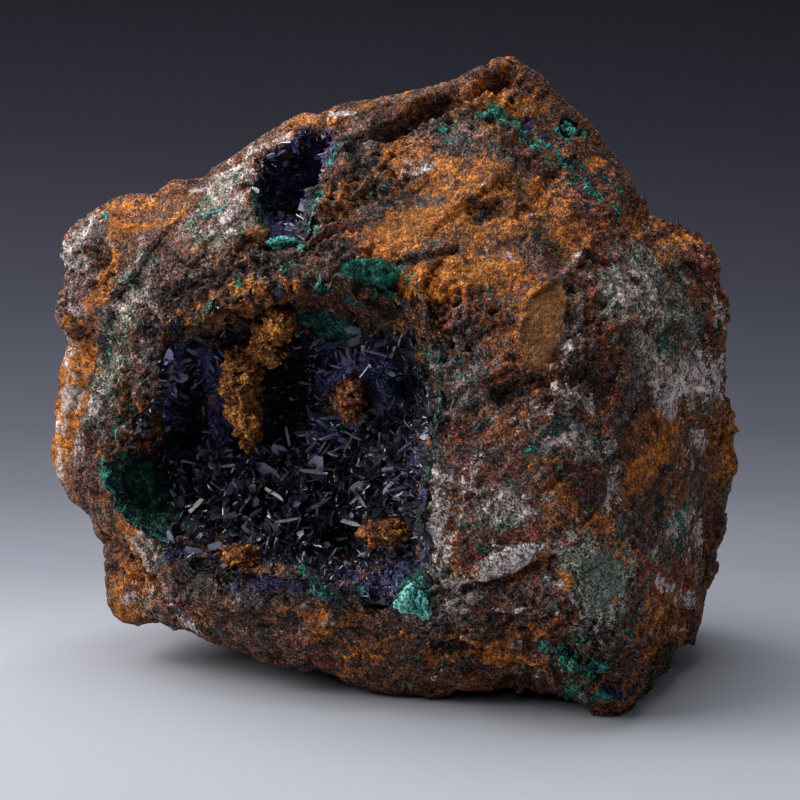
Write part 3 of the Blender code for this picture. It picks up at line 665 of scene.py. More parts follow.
# Minerals of the other sides: the middle in millimetres, its reach and its strength
HIDDEN_MINERALS = {
    "ochre": [
        (60, 50, 130, 22, 0.8), (-40, 60, 60, 20, 0.9), (95, 10, 60, 14, 0.6), (20, 66, 30, 16, 0.7),
        (-90, 40, 70, 14, 0.7), (0, 30, 150, 16, 0.8),
    ],
    "grey": [(30, 66, 60, 24, 0.7), (-60, 55, 90, 20, 0.7), (90, 30, 60, 20, 0.7), (0, 50, 140, 18, 0.6)],
    "mauve": [
        (-10, 68, 110, 26, 0.8), (80, 40, 90, 20, 0.7), (-80, 30, 110, 18, 0.7), (60, 60, 40, 18, 0.6),
    ],
    "maroon": [
        (40, 66, 90, 18, 0.9), (-60, 60, 100, 12, 0.7), (85, 50, 50, 12, 0.7), (-20, 66, 50, 12, 0.6),
    ],
    "pale": [
        (10, 68, 80, 9, 0.9), (90, 30, 100, 8, 0.8), (-70, 55, 60, 8, 0.8), (50, 60, 120, 7, 0.8),
        (-30, 50, 130, 8, 0.7), (80, 50, 25, 7, 0.7),
    ],
    "sage": [(30, 60, 130, 14, 0.8), (-50, 62, 110, 12, 0.8), (92, 20, 40, 12, 0.7), (0, 66, 40, 10, 0.7)],
    "malachite": [
        (40, 60, 110, 6, 0.9), (48, 64, 100, 4, 0.9), (-30, 66, 90, 5, 0.9), (-36, 66, 80, 4, 0.8),
        (94, 30, 80, 4, 0.9), (90, 38, 70, 3, 0.8), (-86, 40, 90, 4, 0.8), (10, 66, 60, 3, 0.8),
        (70, 55, 70, 4, 0.7), (-60, 60, 40, 4, 0.8), (20, 40, 148, 5, 0.7),
    ],
    "azurite": [(44, 62, 105, 3, 0.9), (-33, 66, 86, 3, 0.9), (92, 34, 76, 2.5, 0.8), (12, 67, 64, 2, 0.8)],
    "dark": [(0, 68, 95, 10, 0.5), (70, 58, 60, 10, 0.5), (-70, 52, 80, 8, 0.5), (30, 50, 140, 10, 0.4)],
}  # fmt: skip

# Where the rock's colour is lifted: paler rock, and painted light on faces that the lamps leave darker, most
# on the right. A path, its reach in millimetres and how much it adds
PAINTED_LIGHT_AND_PALER_ROCK = [
    (580, 190, 610, 225, 690, 245, 16, 1.15), (630, 320, 690, 400, 700, 480, 16, 0.55),
    (560, 560, 640, 600, 690, 560, 18, 1.15), (440, 430, 560, 540, 20, 0.6), (640, 420, 680, 500, 14, 0.75),
    (200, 620, 350, 650, 450, 650, 14, 0.6), (714, 290, 724, 400, 722, 480, 9, 1),
    (664, 392, 715, 372, 10, 1.2), (500, 340, 560, 420, 16, 0.6), (425, 280, 510, 262, 8, 0.45),
    (240, 160, 330, 125, 9, 0.5), (460, 480, 520, 540, 12, 0.25), (130, 210, 190, 200, 8, 0.3),
    (450, 545, 500, 560, 545, 550, 9, 0.7), (640, 290, 680, 480, 18, 0.4), (480, 85, 540, 105, 9, 0.45),
    (60, 340, 70, 450, 12, 0.3), (560, 660, 620, 690, 10, 0.3), (450, 320, 500, 400, 14, 0.75),
    (115, 300, 145, 380, 8, 0.5), (130, 580, 180, 610, 9, 0.35), (80, 240, 100, 300, 10, 0.4),
]  # fmt: skip
MOST_PAINTED_LIGHT_AND_PALENESS = 2.8


def mineral_map(points, normals):
    """Each mineral's mask over the points: 1 in the middle of a patch, and 0 or less outside it."""
    aside = smooth_step(normals @ TOWARD, 0.55, 0.1)
    ragged = cloudy(points, 5.0, 51, 3) * 0.8 + cloudy(points, 11.0, 57, 4) * 2.2 * aside
    warp = np.stack([cloudy(points, 8.0, seed, 3) for seed in (54, 55, 56)], 1)
    bent = points + warp * (1.6 + 7.0 * aside)[:, None]
    masks = {}
    for mineral, table in MINERALS.items():
        mask = stroke_mask(bent, table, whole_surface)
        for *middle, reach, strength in HIDDEN_MINERALS[mineral]:
            mask = np.maximum(mask, faded(np.linalg.norm(bent - middle, axis=1), reach, strength))
        masks[mineral] = np.clip(mask + ragged * 0.3, 0, 1)
    return masks


# Noise is drawn out along the rock's depth, like its layers
DEEPER = (1.0, 0.6, 1.0)


class Shader:
    """A material's node tree, built by short calls. Sizes are in millimetres."""

    def __init__(self, name, roughness, **constants):
        self.material = bpy.data.materials.new(name)
        self.material.use_nodes = True
        self.nodes = self.material.node_tree.nodes
        self.links = self.material.node_tree.links
        self.surface = self.nodes["Principled BSDF"]
        self.place = self.add("TexCoord", {}).outputs["Object"]
        self.surface.inputs["Roughness"].default_value = roughness
        for socket, value in constants.items():
            self.surface.inputs[socket].default_value = value

    def add(self, kind, inputs, **settings):
        """A new node with settings and inputs. An input is a value or another node's output."""
        node = self.nodes.new("ShaderNode" + kind)
        for name, value in settings.items():
            setattr(node, name, value)
        for name, value in inputs.items():
            self.put(node.inputs[name], value)
        return node

    def put(self, socket, value):
        if isinstance(value, bpy.types.NodeSocket):
            self.links.new(value, socket)
        elif value is not None:
            socket.default_value = (*value, 1.0) if socket.type == "RGBA" else value

    def math(self, operation, first, second=None, third=None, clamp=False):
        inputs = {0: first, 1: second, 2: third}
        return self.add("Math", inputs, operation=operation, use_clamp=clamp).outputs[0]

    def split(self, colour):
        return list(self.add("SeparateColor", {0: colour}).outputs[:3])

    def shifted(self, shift, stretch=None):
        turn = (0, -LAYER_TURN if stretch else 0, 0)
        inputs = {"Vector": self.place, "Location": (shift, shift * 0.7, shift * 1.3), "Rotation": turn}
        return self.add("Mapping", inputs | {"Scale": stretch or DEEPER}).outputs[0]

    def noise(self, size, detail=3.0, rough=0.55, shift=0.0, stretch=None, output="Fac"):
        """Noise of about 0 to 1 whose blotches are size across."""
        inputs = {"Scale": 1 / (size * MM) / 2, "Detail": detail, "Roughness": rough}
        return self.add("TexNoise", inputs | {"Vector": self.shifted(shift, stretch)}).outputs[output]

    def fields(self, size, detail=4.0, rough=0.6, shift=0.0, stretch=None):
        """Three independent noises of about 0 to 1 whose blotches are size across."""
        return self.split(self.noise(size, detail, rough, shift, stretch, "Color"))

    def grains(self, size, shift=0.0):
        """Irregular grains: three numbers of each grain's own, and the distance from its middle."""
        place, scale = self.shifted(shift), 1 / (size * MM)
        noise = self.add("TexNoise", {"Scale": scale, "Detail": 2.0, "Vector": place}).outputs["Color"]
        bend = {0: noise, 1: (size * MM * 1.1,) * 3, 2: place}
        bent = self.add("VectorMath", bend, operation="MULTIPLY_ADD").outputs[0]
        cells = self.add("TexVoronoi", {"Scale": scale, "Vector": bent})
        return [*self.split(cells.outputs["Color"]), cells.outputs["Distance"]]

    def sum(self, *terms):
        """The sum of value times weight, given as pairs."""
        total = 0.0
        for value, weight in terms:
            total = self.math("MULTIPLY_ADD", value, weight, total)
        return total

    def step(self, value, low, high):
        """0 below low, 1 above high, and smooth between them."""
        inputs = {"Value": value, "From Min": low, "From Max": high}
        return self.add("MapRange", inputs, interpolation_type="SMOOTHSTEP").outputs["Result"]

    def range(self, value, low, high, to_low, to_high):
        inputs = {"Value": value, "From Min": low, "From Max": high, "To Min": to_low, "To Max": to_high}
        return self.add("MapRange", inputs).outputs["Result"]

    def ramp(self, value, stops):
        """Colours by value: a list of (place, colour)."""
        node = self.add("ValToRGB", {"Fac": value})
        elements = node.color_ramp.elements
        while len(elements) < len(stops):
            elements.new(0.5)
        for element, (place, colour) in zip(elements, stops):
            element.position = place
            element.color = (*colour, 1.0)
        return node.outputs["Color"]

    def mix(self, share, first, second, blend="MIX"):
        node = self.add("Mix", {"Factor": share}, data_type="RGBA", blend_type=blend)
        colours = [socket for socket in node.inputs if socket.type == "RGBA"]
        self.put(colours[0], first)
        self.put(colours[1], second)
        return next(socket for socket in node.outputs if socket.type == "RGBA")

    def weaker(self, share, weight):
        return self.math("MULTIPLY", share, weight)

    def shaded(self, colour, shade, darkest, share=1.0):
        """A colour times a shade that is no darker than a limit."""
        return self.mix(share, colour, self.math("MAXIMUM", shade, darkest), "MULTIPLY")

    def masks(self, name):
        """The four channels of a stored attribute."""
        outputs = self.add("Attribute", {}, attribute_name=name).outputs
        return [*self.split(outputs["Color"]), outputs["Alpha"]]

    def finish(self, colour, bumps=None, distance=0.0, strength=1.0, roughness=None):
        """The material with a colour and with bumps of about a distance's height."""
        if bumps is not None:
            inputs = {"Strength": strength, "Distance": distance * MM, "Height": bumps}
            self.put(self.surface.inputs["Normal"], self.add("Bump", inputs).outputs["Normal"])
        self.put(self.surface.inputs["Base Color"], colour)
        self.put(self.surface.inputs["Roughness"], roughness)
        return self.material


# Each mineral's colours from its dark grains to its bright ones, in linear red, green and blue
TINTS = {
    "rust": [
        (0.22, (0.010, 0.004, 0.003)), (0.36, (0.062, 0.017, 0.006)), (0.47, (0.175, 0.046, 0.011)),
        (0.56, (0.290, 0.080, 0.016)), (0.68, (0.470, 0.140, 0.018)), (0.84, (0.660, 0.280, 0.060)),
    ],
    "ochre": [
        (0.2, (0.12, 0.027, 0.003)), (0.42, (0.34, 0.095, 0.010)), (0.6, (0.54, 0.172, 0.019)),
        (0.8, (0.74, 0.31, 0.065)),
    ],
    "mauve": [(0.25, (0.036, 0.017, 0.015)), (0.5, (0.185, 0.085, 0.064)), (0.75, (0.48, 0.31, 0.26))],
    "grey": [(0.25, (0.012, 0.010, 0.011)), (0.5, (0.070, 0.060, 0.058)), (0.75, (0.34, 0.31, 0.29))],
    "maroon": [(0.25, (0.014, 0.004, 0.003)), (0.5, (0.125, 0.027, 0.016)), (0.75, (0.34, 0.085, 0.036))],
    "pale": [(0.25, (0.13, 0.090, 0.080)), (0.5, (0.44, 0.335, 0.31)), (0.75, (0.80, 0.69, 0.66))],
    "sage": [(0.25, (0.034, 0.036, 0.028)), (0.5, (0.17, 0.18, 0.14)), (0.75, (0.50, 0.53, 0.43))],
    "malachite": [(0.25, (0.001, 0.020, 0.015)), (0.48, (0.003, 0.088, 0.066)), (0.75, (0.06, 0.54, 0.42))],
    "azurite": [(0.25, (0.003, 0.003, 0.012)), (0.5, (0.012, 0.014, 0.075)), (0.75, (0.07, 0.07, 0.30))],
    "dark": [(0.25, (0.004, 0.0035, 0.0035)), (0.5, (0.018, 0.012, 0.010)), (0.75, (0.10, 0.06, 0.05))],
}  # fmt: skip

# From the bottom to the top: how hard each mineral is to find outside its patches, how much its patches
# help, how soft its edges are and how crumbly
STREWN = (
    ("mauve", 0.38, 0.88, 0.28, 1.0), ("grey", 0.44, 0.92, 0.26, 1.0), ("maroon", 0.32, 0.80, 0.26, 1.0),
    ("sage", 0.56, 1.1, 0.24, 1.0), ("dark", 0.44, 1.05, 0.24, 1.0), ("ochre", 0.40, 1.0, 0.34, 1.0),
    ("pale", 0.60, 1.15, 0.22, 1.4), ("azurite", 0.80, 1.0, 0.14, 2.2), ("malachite", 0.74, 1.0, 0.16, 2.4),
)  # fmt: skip

# The facets' colours from dark to bright, in linear red, green and blue
FACET_TINTS = {
    "olive": [(0.2, (0.12, 0.040, 0.007)), (0.5, (0.29, 0.108, 0.020)), (0.8, (0.48, 0.21, 0.06))],
    "quartz": [(0.2, (0.48, 0.35, 0.33)), (0.5, (0.86, 0.74, 0.72)), (0.8, (0.95, 0.90, 0.89))],
    "mint": [(0.2, (0.080, 0.092, 0.070)), (0.5, (0.36, 0.42, 0.33)), (0.8, (0.74, 0.84, 0.74))],
    "maroon": [(0.2, (0.020, 0.006, 0.004)), (0.5, (0.10, 0.028, 0.020)), (0.8, (0.28, 0.09, 0.06))],
}  # fmt: skip

# The colour attributes that hold the minerals' masks
MASK_SETS = {
    "minerals_a": ("ochre", "mauve", "maroon", "pale"),
    "minerals_b": ("malachite", "azurite", "sage", "dark"),
}


def rock_material():
    shader = Shader("limonite_rock", 0.85, **{"Specular IOR Level": 0.22})
    *small, hump = shader.grains(0.42)
    *large, wide_hump = shader.grains(1.05, 4.3)
    streaks = shader.fields(2.4, 5, 0.62, 7.7, (0.24, 0.8, 1.0))
    blotches = [noise for shift in (5.3, 11.9, 17.1) for noise in shader.fields(4.6, 5, 0.62, shift)]
    crumbs = [noise for shift in (3.1, 23.3, 29.7) for noise in shader.fields(1.3, 5, 0.68, shift)]
    masks = {}
    for stored, names in MASK_SETS.items():
        masks |= zip(names, shader.masks(stored))
    relief, share_of_painted_light_and_paleness, masks["grey"], streaky = shader.masks("form")
    base = shader.sum(
        (small[0], 0.12), (large[1], 0.10), (crumbs[0], 0.8), (blotches[1], 0.8), (streaks[0], 0.7),
        (1.0, -0.78),
    )  # fmt: skip
    colour = shader.ramp(base, TINTS["rust"])
    aligned = shader.range(streaky, 0, 1, 0.45, 1.5)
    for number, (name, rare, helped, soft, crumbly) in enumerate(STREWN):
        if name == "azurite":
            # Painted light and paler rock: the colour is multiplied up by the stored lift
            colour = shader.mix(1.0, colour, shader.weaker(share_of_painted_light_and_paleness, MOST_PAINTED_LIGHT_AND_PALENESS), "MULTIPLY")
        along = shader.weaker(shader.math("SUBTRACT", streaks[number % 3], 0.5), aligned)
        found = shader.sum(
            (masks[name], helped), (blotches[number], 2.5), (crumbs[(number + 4) % 9], 1.7 * crumbly),
            (along, 1.2), (large[number % 3], 0.30), (small[(number + 1) % 3], 0.26),
            (1.0, -1.25 - 0.85 * crumbly - 0.28),
        )  # fmt: skip
        tone = shader.sum(
            (small[(number + 2) % 3], 0.16), (crumbs[(number + 2) % 9], 0.95),
            (large[(number + 1) % 3], 0.14), (masks[name], 0.16), (1.0, -0.20),
        )  # fmt: skip
        share = shader.step(found, rare - soft, rare + soft)
        colour = shader.mix(share, colour, shader.ramp(tone, TINTS[name]))
    tone = shader.sum((crumbs[5], 0.7), (streaks[1], 0.8), (small[0], 0.2), (1.0, -0.35))
    patches = shader.step(shader.sum((crumbs[7], 0.6), (blotches[6], 0.6)), 0.43, 0.54)
    for name, inside in zip(FACET_TINTS, shader.masks("facets")):
        colour = shader.mix(shader.weaker(inside, patches), colour, shader.ramp(tone, FACET_TINTS[name]))

    def less_in_ochre(most, least):
        return shader.range(masks["ochre"], 0.1, 0.8, most, least)

    shade = shader.sum((small[1], 1.9), (large[2], 0.8), (crumbs[8], 3.5), (1.0, -3.10 + 0.88))
    grainy = shader.weaker(shader.range(masks["pale"], 0.1, 0.9, 1.0, 0.6), less_in_ochre(1.0, 0.55))
    colour = shader.shaded(colour, shade, 0.08, grainy)
    # Painted glints: pale grey specks that stand in for tiny specular highlights
    painted_glints = shader.math("MULTIPLY", shader.math("SUBTRACT", small[2], 0.70), 1.8, clamp=True)
    colour = shader.mix(shader.weaker(painted_glints, less_in_ochre(1.0, 0.3)), colour, (0.42, 0.39, 0.38))
    specks = shader.weaker(shader.step(small[0], 0.84, 0.88), less_in_ochre(0.8, 0.45))
    colour = shader.mix(specks, colour, (0.008, 0.007, 0.008))
    # Painted shade: the rock's hollows are darkened towards near black
    pits = shader.step(shader.sum((relief, 1.0), (crumbs[1], 0.3)), 0.60, 0.34)
    colour = shader.mix(shader.weaker(pits, 0.66), colour, (0.009, 0.006, 0.005))
    fine = shader.noise(0.3, 3, 0.6, 9.1)
    height = shader.sum((hump, -0.6), (wide_hump, -0.7), (crumbs[3], 3.0), (fine, 0.4))
    return shader.finish(colour, height, 1.1, roughness=shader.range(small[1], 0.1, 0.9, 0.45, 0.95))


ROCK_VOXEL = 0.62
ROCK_TRIANGLES = 390000
FLOOR_BAND = 0.3
RELIEF_HEIGHT = 1.4


def add_rock():
    rock, points, normals = fine_copy("rock", "host_rock", ROCK_VOXEL, 8)
    moved = ragged_rims(points + normals * sculpt(points)[:, None])
    moved -= np.outer(pocket_depth(points, rock_surface, POCKETS) * 1.1, TOWARD)
    on_floor = points[:, 2] < FLOOR_BAND
    moved[on_floor] = points[on_floor]
    moved[:, 2] = np.maximum(moved[:, 2], 0)
    set_points(rock.data, moved)
    facing = smooth_step(normals @ TOWARD, -0.3, 0.2)
    thin_out(rock, ROCK_TRIANGLES, 0.25 + 0.75 * facing)
    rock.data.shade_smooth()
    points = mesh_points(rock.data)
    masks = mineral_map(points, mesh_normals(rock.data))
    for stored, names in MASK_SETS.items():
        store(rock.data, stored, *(masks[name] for name in names))
    # Painted light and paler rock: a lift of the colour along the table's strokes, and a little everywhere
    painted_light_and_paleness = 1.1 + np.clip(stroke_mask(points, PAINTED_LIGHT_AND_PALER_ROCK, rock_surface), 0, 1.2)
    share_of_painted_light_and_paleness = np.clip(painted_light_and_paleness * (1 + cloudy(points, 30, 61, 3) * 0.2) / MOST_PAINTED_LIGHT_AND_PALENESS, 0, 1)
    store(rock.data, "form", standing_out(rock.data, RELIEF_HEIGHT), share_of_painted_light_and_paleness, masks["grey"], layered(points))
    facets = strokes(FACETS.values(), 1)
    store(rock.data, "facets", *(facet_share(points, corners)[0] for corners, _ in facets))
    material = rock_material()
    for half in halves(rock):
        new_piece(half, material, "host_rock")


def halves(obj):
    """Splits an object in two, nearer to the viewer and farther from it, with equal counts of triangles."""
    mesh = obj.data
    mesh.normals_split_custom_set_from_vertices(mesh_normals(mesh).tolist())
    nearness = np.array([Vector(TOWARD) @ face.center for face in mesh.polygons])
    order, triangles = np.argsort(nearness), np.array([len(face.vertices) - 2 for face in mesh.polygons])
    middle = nearness[order][np.searchsorted(np.cumsum(triangles[order]), triangles.sum() / 2)]
    back = new_object("rock_back", mesh.copy())
    obj.name = "rock_front"
    for part, dropped in ((obj, nearness < middle), (back, nearness >= middle)):
        shape = bmesh.new()
        shape.from_mesh(part.data)
        shape.faces.ensure_lookup_table()
        faces = [shape.faces[index] for index in np.nonzero(dropped)[0]]
        bmesh.ops.delete(shape, geom=faces, context="FACES")
        shape.to_mesh(part.data)
        shape.free()
    return [obj, back]


# Where the crystals of a druse stand: a path, its reach in millimetres, blades per square millimetre and the
# shortest and longest blade in millimetres
BLADE_FIELDS = {
    "azurite_main_druse": [
        (205, 500, 260, 480, 320, 470, 385, 455, 17, 0.62, 2.6, 8),
        (190, 535, 240, 545, 300, 530, 9, 0.7, 2.2, 6.4), (330, 350, 380, 345, 9, 0.5, 2, 6),
        (400, 430, 410, 500, 9, 0.7, 1.8, 5.6), (350, 565, 400, 580, 420, 560, 8, 1.3, 0.7, 3),
        (176, 345, 170, 400, 5, 1.2, 1.4, 5.4), (207, 335, 214, 450, 4.5, 1.3, 1.2, 4.6),
    ],
    "azurite_upper_druse": [(285, 180, 290, 220, 9, 1.3, 1.2, 3.4), (306, 158, 330, 152, 6, 2, 0.5, 1.5)],
}  # fmt: skip
BARE_DENSITY = 0.5
BARE_LENGTHS = (1.2, 4.0)

# Blades that stand out in the front view: where they start, where they end and their width in millimetres
LONG_BLADES = [
    (317, 349, 349, 340, 1.1), (300, 470, 324, 473, 1), (228, 492, 226, 514, 2.4),
    (222, 516, 240, 514, 1.8), (372, 470, 384, 454, 1.3), (342, 520, 360, 526, 1.6),
    (262, 486, 284, 500, 1.2), (306, 452, 322, 436, 1), (344, 452, 356, 430, 1), (384, 492, 408, 486, 1.1),
    (352, 486, 366, 508, 1.2), (206, 470, 218, 450, 1.2), (190, 512, 204, 498, 1.6),
    (246, 520, 262, 508, 1.1), (276, 522, 300, 518, 1), (398, 452, 414, 440, 1), (318, 366, 340, 372, 1.1),
    (364, 350, 386, 356, 1), (262, 548, 276, 534, 1.4), (186, 548, 204, 552, 1.6),
    (312, 508, 330, 498, 1.1), (290, 446, 286, 426, 1), (236, 462, 250, 470, 1.4), (404, 512, 416, 500, 1),
]  # fmt: skip
LONG_BLADE_THICK = 0.34

# How far the start and the end of a long blade are in front of the druse
LONG_BLADE_LIFTS = (2.2, 3.2)

# Other minerals on the druses: a path, its reach in millimetres and its strength
DRUSE_MINERALS = {
    "azurite_main_druse": {
        "malachite": [
            (120, 470, 140, 505, 160, 520, 7.5, 1.2), (298, 326, 322, 330, 347, 336, 4.4, 1.2),
            (350, 300, 400, 296, 4, 0.9), (438, 350, 436, 420, 428, 480, 1.6, 1),
            (306, 412, 307, 440, 2, 1.1), (330, 426, 350, 432, 1.8, 1), (372, 376, 388, 384, 2.2, 1),
            (398, 360, 410, 372, 2.4, 0.9), (404, 590, 418, 570, 3.4, 1.1), (305, 575, 330, 590, 3.5, 0.9),
            (375, 600, 360, 590, 2, 0.9), (424, 340, 432, 372, 2, 0.7), (140, 412, 128, 430, 3, 0.8),
            (196, 560, 176, 552, 2, 0.5),
        ],
        "limonite": [
            (208, 322, 232, 322, 3.4, 1), (256, 330, 300, 340, 4.5, 1), (256, 296, 296, 302, 3.6, 1),
            (214, 398, 222, 424, 2, 0.9), (240, 306, 252, 318, 4.5, 0.9), (352, 400, 356, 415, 5, 0.7),
            (120, 452, 156, 440, 4, 0.9), (236, 440, 250, 452, 3.5, 0.8), (386, 532, 400, 536, 4, 0.8),
            (232, 566, 256, 572, 3.5, 0.8), (268, 345, 284, 330, 4, 0.8), (400, 330, 420, 345, 4, 0.5),
            (205, 325, 225, 316, 3, 0.6),
        ],
        "rust": [
            (190, 325, 240, 306, 300, 300, 352, 294, 400, 290, 11, 0.95),
            (405, 300, 424, 330, 430, 372, 8, 1.05), (205, 338, 250, 334, 290, 326, 5, 0.9),
            (360, 320, 400, 322, 5, 0.8), (345, 392, 372, 404, 6, 0.7),
            (118, 452, 156, 440, 160, 410, 5, 0.8), (170, 560, 250, 572, 300, 572, 4, 0.7),
            (330, 596, 385, 610, 4, 0.6), (238, 306, 250, 350, 4, 0.8), (384, 530, 404, 540, 5, 0.6),
            (418, 480, 418, 560, 2.6, 0.6),
        ],
        "violet": [
            (205, 332, 211, 380, 212, 456, 5, 1.4), (178, 336, 170, 400, 182, 420, 5, 1.35),
            (352, 570, 392, 580, 420, 560, 7, 0.7), (325, 380, 345, 366, 378, 374, 392, 396, 4.5, 1.15),
            (300, 425, 330, 430, 356, 424, 4, 1), (320, 350, 350, 356, 3.5, 0.8),
            (190, 550, 235, 548, 4, 0.8), (300, 400, 318, 380, 3, 0.6), (384, 400, 372, 426, 3, 0.7),
            (410, 452, 420, 490, 4, 0.7), (176, 500, 200, 530, 4, 0.6), (290, 556, 320, 550, 4, 0.6),
        ],
    },
    "azurite_upper_druse": {
        "malachite": [
            (262, 184, 270, 168, 1.8, 1), (262, 226, 276, 240, 296, 240, 2.6, 1.1),
            (338, 152, 318, 176, 1.6, 1), (306, 196, 306, 222, 1.2, 0.9),
        ],
        "limonite": [],
        "rust": [(262, 196, 262, 220, 2, 0.6), (300, 238, 310, 222, 2, 0.5)],
        "violet": [
            (300, 150, 334, 150, 312, 180, 7.5, 1.3), (258, 182, 266, 214, 3, 1),
            (284, 166, 288, 232, 9, 0.85), (300, 160, 330, 146, 4, 0.8),
        ],
    },
}  # fmt: skip

# Where the vug's roof is broken and lumpy: a path, its reach in millimetres and its strength
ROUGH_ROOF = [
    (196, 322, 240, 308, 300, 300, 350, 296, 400, 292, 12, 1), (400, 300, 428, 330, 436, 370, 8, 1),
    (118, 450, 150, 440, 5, 0.8), (240, 560, 200, 566, 4, 0.6), (330, 380, 366, 400, 7, 0.7),
    (350, 566, 390, 580, 420, 566, 7, 0.8),
]  # fmt: skip

VUG_MIDDLES = {"azurite_main_druse": (290, 445, 24), "azurite_upper_druse": (288, 196, 11)}
BEFORE_VUG = 15
CRUST_TRIANGLES = {"azurite_main_druse": 110000, "azurite_upper_druse": 40000}
MOST_THICK = 5.0
NO_BLADES = 0.45
# Painted light: how far the violet blades' colours are shifted lighter, for light that does not reach the
# vug's walls
VIOLET_LIGHTER = 0.13


def faces_vug(points, normals, node, low, high):
    """1 where a druse's surface faces the space in its vug, and 0 where it faces the rock."""
    inward = unit(sighted(*VUG_MIDDLES[node]) + TOWARD * BEFORE_VUG - points)
    return smooth_step((normals * inward).sum(1), low, high)


def crust_of(node, surface):
    """The druse's crust, drawn back from the crystals' tips by half its thickness."""
    crust, points, normals = fine_copy(node.replace("druse", "crust"), node, 0.62, 3)
    inner = faces_vug(points, normals, node, -0.15, 0.25)
    faces = [face.vertices[:] for face in crust.data.polygons]
    tree = BVHTree.FromPolygons([Vector(point) for point in points], faces)
    thick = np.full(len(points), MOST_THICK)
    for index in np.nonzero(inner > 0)[0]:
        start = Vector(points[index] - normals[index] * 0.05)
        hit = tree.ray_cast(start, Vector(-normals[index]), MOST_THICK)
        if hit[3] is not None:
            thick[index] = hit[3]
    bed = chips(points, 1.5, 71, 0.7, 0.35) * 0.75 + cloudy(points, 7.0, 72, 4) * 1.5
    moved = -inner * np.minimum(thick * 0.5, 2.3) + inner * bed * np.clip(thick / 4, 0.2, 1)
    if node == "azurite_main_druse":
        rough = smooth_step(stroke_mask(points, ROUGH_ROOF, surface), 0.0, 0.6) * inner
        nearer = pocket_depth(points, surface, RIBS) - pocket_depth(points, surface, POCKETS)
        points = points + np.outer(nearer, TOWARD)
        moved += rough * ((0.55 - lumps(points, 3.6, 73)) * 3.4 + cloudy(points, 2.4, 74, 2) * 0.9)
    set_points(crust.data, ragged_rims(points + normals * moved[:, None]))
    thin_out(crust, CRUST_TRIANGLES[node], 0.1 + 0.9 * inner)
    crust.data.shade_flat()
    return crust


# A blade's outline: along its length and across its width
BLADE_OUTLINE = np.array([(0, -0.42), (0, 0.42), (0.82, 0.5), (1.0, 0.12), (0.93, -0.38), (0.5, -0.5)])


def repeated(faces, corners, count):
    """A thing's faces for each of a count of copies, which have a number of corners each."""
    return [tuple(index + number * corners for index in face) for number in range(count) for face in faces]


def blade_mesh(name, starts, directions, faces_toward, sizes, violet, chance):
    """Flat blades with bevelled faces and slanted tips. Sizes are lengths, widths and thicknesses."""
    count, corners = len(starts), len(BLADE_OUTLINE)
    shape = BLADE_OUTLINE[None] * chance.uniform(0.86, 1.14, (count, corners, 2))
    wide = unit(np.cross(faces_toward, directions))
    thin = np.cross(directions, wide)
    layers = []
    for side, inset in ((0.5, 0.86), (-0.5, 1.0)):
        along = shape[:, :, :1] * sizes[:, None, :1] * directions[:, None]
        sideways = shape[:, :, 1:] * inset * sizes[:, None, 1:2] * wide[:, None]
        layers.append(starts[:, None] + along + sideways + side * sizes[:, None, 2:] * thin[:, None])
    points = np.concatenate(layers, 1).reshape(-1, 3)
    one = [tuple(range(corners))[::-1], tuple(range(corners, 2 * corners))]
    for corner in range(corners):
        after = (corner + 1) % corners
        one.append((corner, after, corners + after, corners + corner))
    mesh = bpy.data.meshes.new(name)
    mesh.from_pydata((points * MM).tolist(), [], repeated(one, 2 * corners, count))
    along, over = np.tile(np.concatenate([BLADE_OUTLINE, BLADE_OUTLINE]), (count, 1)).T
    tone = np.repeat(chance.random(count), 2 * corners)
    store(mesh, "blade", along, over + 0.5, tone, np.repeat(violet, 2 * corners))
    return mesh


def surface_samples(mesh, density, chance):
    """Points spread over a mesh's triangles with a density per square millimetre at each point of it."""
    mesh.calc_loop_triangles()
    corners = np.empty(len(mesh.loop_triangles) * 3, np.int32)
    mesh.loop_triangles.foreach_get("vertices", corners)
    corners = corners.reshape(-1, 3)
    points = mesh_points(mesh)
    first, second, third = (points[corners[:, k]] for k in range(3))
    areas = np.linalg.norm(np.cross(second - first, third - first), axis=1) / 2
    wanted = areas * density[corners].mean(1)
    counts = (wanted + chance.random(len(wanted))).astype(int)
    chosen = np.repeat(np.arange(len(counts)), counts)
    a, b = chance.random((2, len(chosen), 1))
    flip = (a + b) > 1
    a, b = np.where(flip, 1 - a, a), np.where(flip, 1 - b, b)
    places = first[chosen] + a * (second - first)[chosen] + b * (third - first)[chosen]
    return places, unit(mesh_normals(mesh)[corners[chosen]].mean(1)), corners[chosen][:, 0]


